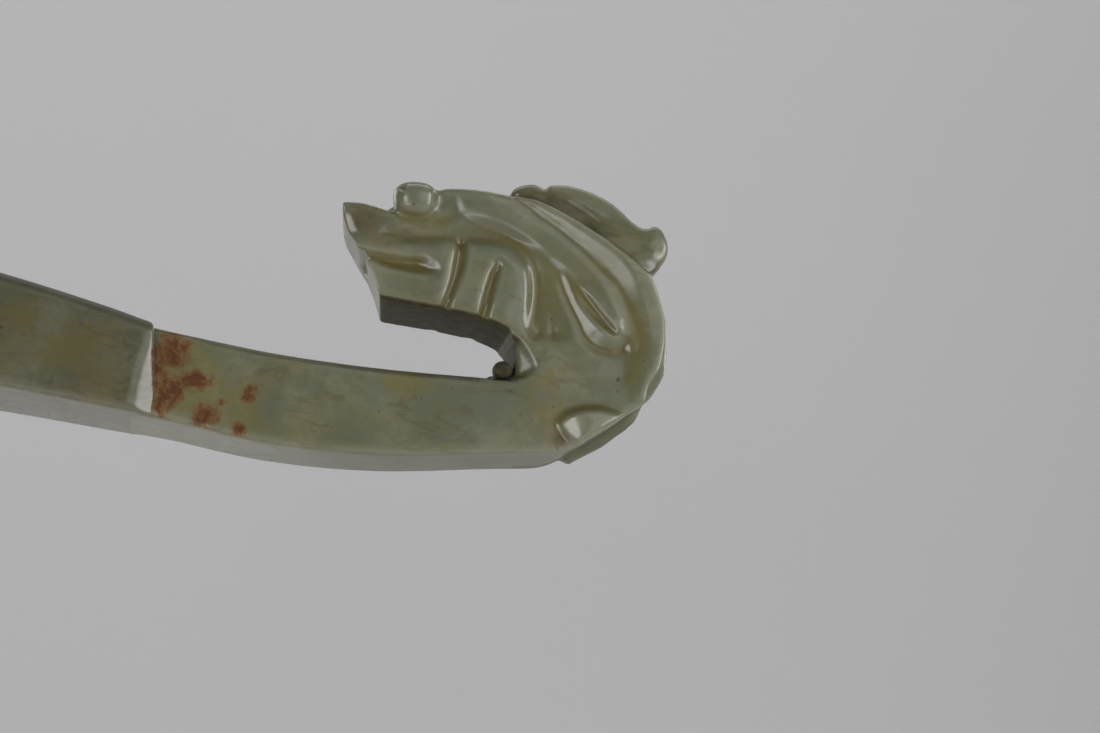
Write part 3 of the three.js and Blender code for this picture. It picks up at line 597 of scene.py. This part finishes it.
# Meshes and objects
def smooth_mesh(name, points, faces):
    """A mesh with smooth shading. Its points are metres."""
    mesh = bpy.data.meshes.new(name)
    mesh.from_pydata(points, [], faces)
    mesh.polygons.foreach_set("use_smooth", np.ones(len(mesh.polygons), bool))
    return mesh


def linked(name, data):
    """A new object with this data, linked to the scene."""
    made = bpy.data.objects.new(name, data)
    bpy.context.scene.collection.objects.link(made)
    return made


# Skin
def sample(field, axes, points):
    """Trilinear reading of a field at points."""
    index, share = [], []
    for k, axis in enumerate(axes):
        i = np.clip(np.searchsorted(axis, points[:, k]) - 1, 0, len(axis) - 2)
        index.append(i)
        share.append(np.clip((points[:, k] - axis[i]) / (axis[i + 1] - axis[i]), 0, 1))
    out = 0
    for a in (0, 1):
        for b in (0, 1):
            for c in (0, 1):
                weight = (share[0] if a else 1 - share[0]) * (share[1] if b else 1 - share[1])
                weight = weight * (share[2] if c else 1 - share[2])
                out = out + weight * field[index[0] + a, index[1] + b, index[2] + c]
    return out


def skin(field, axes):
    """Surface nets: one vertex in each cell that the zero level crosses, then quads and normals."""
    inside = field < 0
    count = np.zeros(tuple(n - 1 for n in field.shape), np.uint8)
    for a in (0, 1):
        for b in (0, 1):
            for c in (0, 1):
                count += inside[a : a + count.shape[0], b : b + count.shape[1], c : c + count.shape[2]]
    cells = np.nonzero((count > 0) & (count < 8))
    number = np.full(count.shape, -1, np.int32)
    number[cells] = np.arange(len(cells[0]))
    total, met = np.zeros((len(cells[0]), 3)), np.zeros(len(cells[0]))
    for axis in range(3):
        others = [k for k in range(3) if k != axis]
        for a in (0, 1):
            for b in (0, 1):
                start = [0, 0, 0]
                start[others[0]], start[others[1]] = a, b
                end = list(start)
                end[axis] = 1
                f0 = field[cells[0] + start[0], cells[1] + start[1], cells[2] + start[2]]
                f1 = field[cells[0] + end[0], cells[1] + end[1], cells[2] + end[2]]
                crosses = (f0 < 0) != (f1 < 0)
                t = np.where(crosses, f0 / np.where(crosses, f0 - f1, 1), 0)
                for k in range(3):
                    total[:, k] += crosses * (t if k == axis else start[k])
                met += crosses
    local = total / met[:, None]
    points = np.stack([
        ax[c] + local[:, k] * (ax[c + 1] - ax[c]) for k, (ax, c) in enumerate(zip(axes, cells))
    ], 1)

    quads = []
    for axis in range(3):
        first, second = (axis + 1) % 3, (axis + 2) % 3
        here = [slice(None)] * 3
        there = [slice(None)] * 3
        here[axis], there[axis] = slice(None, -1), slice(1, None)
        a, b = inside[tuple(here)], inside[tuple(there)]
        where = np.array(np.nonzero(a != b))
        keep = (where[first] > 0) & (where[second] > 0)
        keep &= (where[first] < field.shape[first] - 1) & (where[second] < field.shape[second] - 1)
        where = where[:, keep]
        outward = a[tuple(where)]
        ring = []
        for df, ds in ((1, 1), (0, 1), (0, 0), (1, 0)):
            cell = where.copy()
            cell[first] -= df
            cell[second] -= ds
            ring.append(number[tuple(cell)])
        ring = np.stack(ring, 1)
        ring[~outward] = ring[~outward][:, ::-1]
        quads.append(ring)
    quads = np.vstack(quads)

    reach = min(float(np.diff(ax).min()) for ax in axes) * 0.7
    for turn in range(3):
        slope = np.stack([
            sample(field, axes, points + reach * unit) - sample(field, axes, points - reach * unit)
            for unit in np.eye(3)
        ], 1) / (2 * reach)
        if turn < 2:
            size = np.maximum((slope**2).sum(1), 0.1)
            shift = sample(field, axes, points)[:, None] * slope / size[:, None]
            points = points - np.clip(shift, -0.08, 0.08)
    normals = slope / np.maximum(np.linalg.norm(slope, axis=1, keepdims=True), 1e-9)
    return points, quads, normals


# How far round a point its hollow is measured
HOLLOW_REACH = 0.55


def hollows(field, axes, points, radius):
    """How sunk each point is: 0.5 on a flat, more in a hollow and less on a ridge."""
    spacing = [float(np.median(np.diff(ax))) for ax in axes]
    cells = [max(1, round(radius / s)) for s in spacing]
    return 0.5 - sample(blurred(np.clip(field, -2, 2), cells), axes, points) / radius


def carve(name, field, axes, marks):
    """Makes a mesh object from a field, with a value at each vertex for each mark."""
    points, quads, normals = skin(field, axes)
    mesh = smooth_mesh(name, (points * MM).tolist(), quads.tolist())
    values = {"hollow": hollows(field, axes, points, HOLLOW_REACH)}
    values.update({key: rule(points, normals) for key, rule in marks.items()})
    for key, value in values.items():
        attribute = mesh.attributes.new(key, "FLOAT", "POINT")
        attribute.data.foreach_set("value", np.asarray(value, np.float32))
    mesh.normals_split_custom_set_from_vertices(normals.tolist())
    mesh.update()
    print(name, len(points), "vertices", len(quads), "quads")
    return linked(name, mesh)


def blobs(spots, flanks=False):
    """A mark, 1 in the middle of each spot (x, z, radius x, radius z) and 0 well past its rim."""

    def read(points, normals):
        value = np.zeros(len(points))
        for x, z, rx, rz in spots:
            reach = np.hypot((points[:, 0] - x) / rx, (points[:, 2] - z) / rz)
            value = np.maximum(value, 1 - ramp(0.2, 1.5, reach))
        return value * ramp(0.35, 0.7, np.abs(normals[:, 1])) if flanks else value

    return read


def rough_and_shaded_parts(points, normals):
    """Rougher, and darkened as painted shade: the throat, its bead, the neck's upper edges, and under the
    jaw, the right mane and the neck.
    """
    x, z = points[:, 0], points[:, 2]
    under = ramp(0.3, 0.75, -normals[:, 2]) * ramp(JAW - 2.6, JAW - 1.6, z)
    under = under * (z < JAW + 3.2) * (x < THROAT + 0.5)
    wall = ramp(0.7, 0.95, -normals[:, 0]) * (z > 7.9) * (z < JAW + 1) * (x > THROAT - 2.5) * (x < THROAT + 1)
    bead = (1 - ramp(0.8, 1.2, np.hypot(x - THROAT + 1.0, z - 8.3))) * (np.abs(points[:, 1]) < 5.2)
    # the right mane's underside: painted shadow
    lock = ramp(0.2, 0.6, -normals[:, 2]) * ramp(2.0, 3.5, points[:, 1]) * (z < JAW) * (x > THROAT + 1)
    # the neck's upper edges, darkened: painted shade
    edge_shade = shaded_upper_edges(points, normals) * (x < THROAT - 3) * (z < JAW)
    # the neck's underside gets darker towards the head: painted shade
    edge_shade = np.maximum(edge_shade, 0.3 * ramp(32, 50, x) * ramp(0.75, 0.95, -normals[:, 2]) * (z < 3))
    return np.maximum(np.maximum(under, wall), np.maximum(np.maximum(bead, 0.5 * lock), edge_shade))


def shaded_upper_edges(points, normals):
    """The long upper edges of the shaft, made rougher and darker: painted shade."""
    return 0.6 * ramp(0.15, 0.4, normals[:, 2]) * (1 - ramp(0.8, 0.97, normals[:, 2]))


# Body
def body_field(xs, ys, zs):
    x, y, z = np.meshgrid(xs, ys, zs, indexing="ij")
    at = np.clip(x, TAIL_AT, SHOULDER)
    wide, low, tall = body_width(at) / 2, underside(at), thickness(at) + body_crown(at)
    past = np.clip((TAIL_AT + TAIL_ROUND - x) / TAIL_ROUND, 0, 1)
    round_off = np.sqrt(np.maximum(1 - past**2, 0))
    middle = low + tall / 2
    wide = wide * np.maximum(round_off, 0.02)
    tall = tall * np.maximum(np.sqrt(round_off), 0.05)
    share = np.clip((z - middle) / (tall / 2), -1, 1)
    flank = np.abs(y) - (wide - 0.25 * share**2)
    face = np.abs(z - middle) - (tall / 2 - 0.12 * np.clip(y / wide, -1, 1) ** 2)
    edge = np.where(z < middle, 0.6, 1.2)
    shell = smooth_max(flank, face, edge)
    # the shoulder is bevelled, more towards its foot
    shoulder_top, shoulder_height = 10.7, 8.1
    foot = np.clip((shoulder_top - z) / shoulder_height, 0, 1)
    slant, bevel_x, bevel_lean = np.radians(30), 25.7, 2.05
    bevel = (x - bevel_x + bevel_lean * foot) * np.sin(slant) + (np.abs(y) - wide + 0.1) * np.cos(slant)
    shell = smooth_max(shell, bevel, 0.25)
    end_x, end_lean = 25.6, 0.7
    return smooth_max(shell, x - end_x - end_lean * foot, 0.4).astype(np.float32)


# Materials
def nodes_of(material):
    material.use_nodes = True
    tree = material.node_tree
    tree.nodes.clear()
    return tree


class Graph:
    """Short calls for building a node tree."""

    def __init__(self, material):
        self.tree = nodes_of(material)

    def add(self, kind, **inputs):
        node = self.tree.nodes.new(kind)
        for key, value in inputs.items():
            self.put(node, key, value)
        return node

    def put(self, node, key, value):
        numbered = key[0] == "i" and key[1:].isdigit()
        socket = node.inputs[int(key[1:]) if numbered else key.replace("_", " ")]
        if isinstance(value, bpy.types.NodeSocket):
            self.tree.links.new(value, socket)
        else:
            socket.default_value = value

    def noise(self, at, scale, detail=4.0, rough=0.55, warp=0.0):
        node = self.add(
            "ShaderNodeTexNoise", Vector=at, Scale=scale, Detail=detail, Roughness=rough, Distortion=warp
        )
        return node.outputs["Fac"]

    def span(self, value, low, high, to_low=0.0, to_high=1.0):
        node = self.add("ShaderNodeMapRange", Value=value)
        node.interpolation_type = "SMOOTHSTEP"
        for key, v in (("From Min", low), ("From Max", high), ("To Min", to_low), ("To Max", to_high)):
            node.inputs[key].default_value = v
        return node.outputs["Result"]

    def math(self, how, a, b=0.0):
        node = self.add("ShaderNodeMath")
        node.operation = how
        self.put(node, "i0", a)
        self.put(node, "i1", b)
        return node.outputs[0]

    def mix(self, share, a, b):
        node = self.add("ShaderNodeMix")
        node.data_type = "RGBA"
        for socket, value in ((0, share), (6, a), (7, b)):
            self.put(node, f"i{socket}", value)
        return node.outputs[2]

    def mark(self, name):
        node = self.add("ShaderNodeAttribute")
        node.attribute_name = name
        return node.outputs["Fac"]


def linear(r, g, b):
    """An 8-bit display colour as the shader's linear one."""
    c = np.array([r, g, b]) / 255
    return (*np.where(c < 0.04045, c / 12.92, ((c + 0.055) / 1.055) ** 2.4), 1.0)


# The roughness of the polished stone
POLISH = 0.25


def jade(name, marks, tint=(1, 1, 1)):
    """The stone: clouds, veins, the stains whose marks the mesh carries, painted light, highlight and shade,
    and a rougher look.
    """
    material = bpy.data.materials.new(name)
    g = Graph(material)
    at = g.add("ShaderNodeTexCoord").outputs["Object"]

    def shade(r, gr, b):
        return linear(r * tint[0], gr * tint[1], b * tint[2])

    def laid(under, share, strength, over):
        """A colour laid over the one under it, by a share of the given strength."""
        return g.mix(g.math("MULTIPLY", share, strength), under, shade(*over))

    cloud = g.span(g.noise(at, 110, 5, 0.6, 0.8), 0.38, 0.62)
    wisp = g.span(g.noise(at, 300, 6, 0.65, 1.5), 0.42, 0.68)
    colour = g.mix(cloud, shade(105, 109, 85), shade(129, 129, 105))
    colour = laid(colour, wisp, 0.6, (102, 109, 90))
    yellow = g.math("MULTIPLY", g.span(g.noise(at, 75, 5, 0.65, 1.0), 0.5, 0.68), 0.65)
    colour = g.mix(yellow, colour, shade(127, 120, 76))
    fine = g.span(g.noise(at, 850, 6, 0.7), 0.36, 0.66)
    colour = laid(colour, fine, 0.25, (96, 96, 70))
    # fine veins that lie aslant in the stone
    turned = g.add("ShaderNodeMapping", Vector=at)
    turned.inputs["Rotation"].default_value = (0.3, 0.75, 0.2)
    turned.inputs["Scale"].default_value = (1, 1, 3)
    vein = g.math("ABSOLUTE", g.math("SUBTRACT", g.noise(turned.outputs[0], 120, 5, 0.6, 0.5), 0.5))
    vein = g.math("MULTIPLY", g.span(vein, 0.0, 0.045, 1.0, 0.0), g.span(g.noise(at, 170, 3, 0.5), 0.42, 0.6))
    colour = laid(colour, vein, 0.55, (92, 86, 54))
    lace = g.math("ABSOLUTE", g.math("SUBTRACT", g.noise(turned.outputs[0], 310, 6, 0.7, 0.8), 0.5))
    lace = g.math("MULTIPLY", g.span(lace, 0.0, 0.03, 1.0, 0.0), g.span(g.noise(at, 130, 3, 0.5), 0.46, 0.6))
    colour = laid(colour, lace, 0.45, (112, 100, 50))
    if "painted_light" in marks:
        # painted light: paler stone on the head and a painted highlight on the leaf
        colour = laid(colour, g.mark("painted_light"), 0.7, (163, 160, 134))
    if "olive" in marks:
        uneven = g.span(g.noise(at, 500, 4, 0.6), 0.25, 0.65, 0.75, 1.0)
        amount = g.math("MULTIPLY", g.mark("olive"), g.math("MULTIPLY", uneven, 0.95))
        colour = g.mix(amount, colour, shade(108, 99, 40))
    if "hollow" in marks:
        hollow = g.mark("hollow")
        deep = g.span(hollow, 0.56, 0.75)
        colour = laid(colour, deep, 0.6, (104, 96, 52))
        # ridges are laid paler: painted highlight
        ridge = g.span(hollow, 0.3, 0.45, 1.0, 0.0)
        colour = laid(colour, ridge, 0.25, (146, 148, 130))
    if "ochre" in marks:
        spread = g.math("ADD", g.mark("ochre"), g.math("MULTIPLY", g.noise(at, 480, 8, 0.75, 1.0), 4.0))
        colour = laid(colour, g.span(spread, 2.35, 3.1), 0.5, (121, 112, 52))
    if "brown_stain_and_shade" in marks:
        # brown stains, and painted shadow at the horn's root
        patchy = g.span(g.noise(at, 700, 6, 0.7), 0.35, 0.6, 0.55, 1.0)
        colour = laid(colour, g.math("MULTIPLY", g.mark("brown_stain_and_shade"), patchy), 0.85, (92, 82, 54))
    if "rust" in marks:
        spread = g.math("ADD", g.mark("rust"), g.math("MULTIPLY", g.noise(at, 700, 9, 0.8, 0.6), 4.2))
        amount = g.math("MULTIPLY", g.span(spread, 2.35, 2.95), g.span(g.mark("rust"), 0.0, 0.25))
        colour = laid(colour, amount, 0.85, (120, 80, 36))
        core = g.math("MULTIPLY", amount, g.span(spread, 2.8, 3.25))
        colour = laid(colour, core, 0.8, (88, 46, 22))
    speck = g.span(g.noise(at, 1500, 2, 0.5), 0.7, 0.74)
    patch = g.span(g.noise(at, 140, 2, 0.5), 0.45, 0.6)
    colour = laid(colour, g.math("MULTIPLY", speck, patch), 0.8, (70, 52, 30))

    bump = g.add("ShaderNodeBump", Height=g.noise(at, 900, 3, 0.5))
    bump.inputs["Strength"].default_value = 0.25
    bump.inputs["Distance"].default_value = 0.00008

    gloss = POLISH
    # where this mark is set the stone is rougher and less shiny, and its colour is darkened as painted shade
    if "rough_and_shaded" in marks:
        rough_and_shaded = g.mark("rough_and_shaded")
        gloss = g.math("ADD", g.math("MULTIPLY", rough_and_shaded, 0.45), POLISH)
        patchy_shade = g.span(g.noise(at, 900, 5, 0.65), 0.3, 0.7, 0.75, 1.0)
        colour = g.mix(g.math("MULTIPLY", rough_and_shaded, patchy_shade), colour, shade(52, 44, 24))
    shader = g.add(
        "ShaderNodeBsdfPrincipled", Base_Color=colour, Roughness=gloss, Normal=bump.outputs["Normal"]
    )
    if "rough_and_shaded" in marks:
        g.put(shader, "Specular IOR Level", g.math("SUBTRACT", 0.5, g.math("MULTIPLY", rough_and_shaded, 0.25)))
    shader.inputs["IOR"].default_value = 1.61
    shader.inputs["Subsurface Weight"].default_value = 0.7
    shader.inputs["Subsurface Radius"].default_value = (1.0, 1.0, 0.75)
    shader.inputs["Subsurface Scale"].default_value = 0.0009
    g.add("ShaderNodeOutputMaterial", Surface=shader.outputs["BSDF"])
    return material


# Pieces
def finish_piece(piece, material, slot, *nodes):
    piece.data.materials.append(material)
    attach(piece, "root")
    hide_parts(*nodes)


def lathe(name, profile, turns=96):
    """A closed solid of revolution about the upright axis. profile runs (radius, z) from foot to top."""
    angles = np.linspace(0, 2 * np.pi, turns, endpoint=False)
    rows = [[(r * np.cos(a), r * np.sin(a), z) for a in angles] for r, z in profile]
    points = [(0, 0, profile[0][1])] + [p for row in rows for p in row] + [(0, 0, profile[-1][1])]
    faces = []
    for i in range(turns):
        j = (i + 1) % turns
        faces.append((0, 1 + j, 1 + i))
        for r in range(len(rows) - 1):
            a = 1 + r * turns
            faces.append((a + i, a + j, a + turns + j, a + turns + i))
        last = 1 + (len(rows) - 1) * turns
        faces.append((len(points) - 1, last + i, last + j))
    mesh = smooth_mesh(name, [tuple(np.array(p) * MM) for p in points], faces)
    mesh.update()
    return linked(name, mesh)


rust_spots = [
    (26.5, 5.6, 1.0, 4.2), (27.4, 8.4, 1.6, 2.4), (27.5, 4.6, 1.3, 2.2), (29.4, 5.8, 1.5, 1.3),
    (30.4, 2.6, 1.5, 1.4), (34.2, 4.9, 0.9, 1.0), (33.4, 1.6, 0.8, 0.7), (31.8, 4.0, 0.5, 0.4),
]
ochre_spots = [
    (60.5, 5.5, 2.6, 3.4), (48, 6.3, 2.6, 1.4), (29, 6, 4, 5), (61.3, 2.4, 1.8, 1.6), (34, 3.5, 2, 3),
    (51.5, 1.0, 1.0, 0.35),
]
# Brown stains; the first three spots, at the horn's root behind the brow, are painted shadow
brown_and_shade_spots = [
    (THROAT + 0.8, JAW + 0.89 * SKULL, 2.3, 1.0), (THROAT + 3.2, JAW + 0.87 * SKULL, 2.0, 0.8),
    (THROAT + 5.5, JAW + 0.82 * SKULL, 1.6, 0.5), (THROAT + 12.4, JAW + 0.47 * SKULL, 1.1, 0.9),
    (THROAT - 14.2, JAW + 0.68 * SKULL, 2.4, 1.7), (61.9, 2.0, 0.7, 0.7),
    (THROAT + 8.6, JAW + 0.66 * SKULL, 1.0, 0.3),
]
# the leaf's painted highlight
leaf_highlight_spots = [(THROAT + 0.39 * DEPTH, 0.29 * JAW, 1.1, 0.9)]


def paler_by_painted_light(points, normals):
    """A painted highlight on the leaf, and painted light that makes the head's stone a little paler than the
    neck's.
    """
    head = np.maximum(ramp(JAW - 2, JAW + 2, points[:, 2]), ramp(THROAT - 1, THROAT + 5, points[:, 0]))
    return np.maximum(blobs(leaf_highlight_spots)(points, normals), 0.15 * head)


head_axes = head_lattice()
head_stone, stain = head_field(*head_axes)


def olive(points, normals):
    """The carving's stained beds, on the two sides only."""
    flat = np.c_[points[:, 0], np.zeros(len(points)), points[:, 2]]
    grid = np.repeat(stain[:, None, :], 2, axis=1)
    planes = (head_axes[0], np.array([-1.0, 1.0]), head_axes[2])
    return sample(grid, planes, flat) * ramp(2.6, 3.6, np.abs(points[:, 1]))


# of these marks, the paler head and the leaf's spot are painted light, and the rough places and the horn's
# root painted shade
head_marks = {
    "olive": olive,
    "rust": blobs(rust_spots, flanks=True),
    "ochre": blobs(ochre_spots),
    "brown_stain_and_shade": blobs(brown_and_shade_spots),
    "painted_light": paler_by_painted_light,
    "rough_and_shaded": rough_and_shaded_parts,
}
head_carving = carve("head_carving", head_stone, head_axes, head_marks)

body_step = 0.3
body_axes = (
    np.arange(-36.9, SHOULDER + 1.6, body_step * 1.3),
    np.arange(-8.9, 9, body_step),
    np.arange(1, 16.6, body_step * 0.8),
)
body_marks = {
    # rougher, darker upper edges: painted shade
    "rough_and_shaded": shaded_upper_edges,
    "rust": blobs([(25.9, 7.0, 0.45, 3.2)]),
    "ochre": blobs([(18.5, 8, 3, 2.6), (14, 10.5, 3, 1.6), (-18, 8, 5, 2)]),
}
body_carving = carve("body_carving", body_field(*body_axes), body_axes, body_marks)

head_jade = jade("jade_head", {"hollow", "olive", "rust", "ochre", "brown_stain_and_shade", "painted_light", "rough_and_shaded"})
# the shaft's stone is tinted darker than the head's: painted shade
body_jade = jade("jade_shaft", {"hollow", "rust", "ochre", "rough_and_shaded"}, tint=(0.87, 0.855, 0.84))
plain_jade = jade("jade_button", set())
finish_piece(
    head_carving, head_jade, "head_jade", "shaft_neck", "dragon_head", "cheek_left", "cheek_right",
    "brow_left", "brow_right", "mane_left", "mane_right", "ear_left", "ear_right", "eye_left", "eye_right",
    "horn_left", "horn_right", "throat_bead",
)
finish_piece(body_carving, body_jade, "shaft_jade", "shaft_body")


def button_profile():
    """A disc with a half-round rim. It is a little hollow below and crowned above."""
    radius, rim = button_high[0], (button_high[2] - button_low[2]) / 2
    turn = np.linspace(-np.pi / 2, np.pi / 2, 17)
    profile = [(radius * 0.3, 0.02), (radius * 0.6, 0)]
    profile += [(radius - rim + rim * np.cos(t), rim + rim * np.sin(t)) for t in turn]
    return profile + [(radius * 0.6, 2 * rim + 0.02), (radius * 0.3, 2 * rim + 0.05)]


def stem_profile():
    """A waisted post that flares, and sinks a little into the button and the shaft."""
    flare, spread = 0.7, 1.5
    waist = stem_high[0] - flare
    low, high = stem_low[2] - 0.15, stem_high[2] + 0.05
    return [(waist + spread * abs(2 * s - 1) ** 3.5, low + (high - low) * s) for s in np.linspace(0, 1, 25)]


finish_piece(lathe("button", button_profile()), plain_jade, "shaft_jade", "belt_button")
finish_piece(lathe("stem", stem_profile()), plain_jade, "shaft_jade", "button_stem")


# Stage, light and camera
def flat_material(name, colour):
    material = bpy.data.materials.new(name)
    g = Graph(material)
    at = g.add("ShaderNodeTexCoord").outputs["Object"]
    cloud = g.span(g.noise(at, 1.3, 3, 0.5), 0.3, 0.7)
    tone = g.mix(cloud, linear(*colour), linear(*(c * 0.985 for c in colour)))
    shader = g.add("ShaderNodeBsdfPrincipled", Base_Color=tone)
    shader.inputs["Roughness"].default_value = 0.9
    g.add("ShaderNodeOutputMaterial", Surface=shader.outputs["BSDF"])
    return material


def sweep():
    """Floor and backdrop in one curved sheet."""
    floor, wall, bend, wide = -0.32, 1.5, 0.5, 3.0
    line = [(-3.0, floor), (-1.5, floor), (0.0, floor), (wall - bend, floor)]
    for a in np.linspace(0, np.pi / 2, 17)[1:]:
        line.append((wall - bend + bend * np.sin(a), floor + bend - bend * np.cos(a)))
    line += [(wall, 1.2), (wall, 2.6)]
    points = [(x, y, z) for y, z in line for x in (-wide, wide)]
    faces = [(2 * i, 2 * i + 1, 2 * i + 3, 2 * i + 2) for i in range(len(line) - 1)]
    made = linked("backdrop", smooth_mesh("backdrop", points, faces))
    made.data.materials.append(flat_material("paper", (222, 221, 222)))


def area(name, at, aim, size, power, colour=(1, 1, 1)):
    light = bpy.data.lights.new(name, "AREA")
    light.shape = "RECTANGLE"
    light.size, light.size_y = size
    light.energy = power
    light.color = colour
    made = linked(name, light)
    made.location = at
    made.rotation_euler = (Vector(aim) - Vector(at)).to_track_quat("-Z", "Y").to_euler()


sweep()
focus = (0.05, 0, 0.01)
area("window_left", (-0.46, -0.62, -0.06), focus, (0.28, 0.36), 1.65)
area("window_right", (0.6, -0.27, 0.05), focus, (0.2, 0.45), 1.6)
area("paper_right", (0.38, -0.6, 0.12), focus, (0.46, 0.5), 0.72)
area("back_left", (-0.65, 0.75, 0.25), focus, (0.6, 0.6), 2.2)
area("back_right", (0.8, 0.6, 0.3), focus, (0.6, 0.6), 1.8)
area("glow_low", (-0.21, -0.4, -0.3), focus, (0.34, 0.13), 0.5)
area("wall_wash", (0.0, 0.2, 1.2), (0, 1.5, 0.3), (2.0, 0.6), 11.5)
area("top_soft", (0.0, 0.7, 1.3), focus, (1.6, 1.2), 0.6)

world = bpy.data.worlds.new("room")
bpy.context.scene.world = world
world.use_nodes = True
world.node_tree.nodes["Background"].inputs["Color"].default_value = (0.43, 0.43, 0.44, 1)
world.node_tree.nodes["Background"].inputs["Strength"].default_value = 0.27

# Camera: low on the dragon's left, a little in front of its nose, with the photograph's slight roll
azimuth, elevation, roll = np.radians([-7.0, -10.0, 1.5])
aim, distance = np.array([61.5, 0, 9.6]), 300
back = np.array([
    np.sin(azimuth) * np.cos(elevation), -np.cos(azimuth) * np.cos(elevation), np.sin(elevation)
])
right = np.cross(-back, (0, 0, 1))
right /= np.linalg.norm(right)
up = np.cross(right, -back)
right, up = np.cos(roll) * right + np.sin(roll) * up, np.cos(roll) * up - np.sin(roll) * right
camera = linked("camera", bpy.data.cameras.new("camera"))
camera.data.lens, camera.data.sensor_width = 108, 36
camera.data.clip_start, camera.data.clip_end = 0.01, 20
spot = (aim + distance * back) * MM
rows = [[*row, at] for row, at in zip(np.stack([right, up, back], 1), spot)]
camera.matrix_world = Matrix(rows + [[0, 0, 0, 1]])
bpy.context.scene.camera = camera
bpy.context.scene.view_settings.view_transform = "Standard"
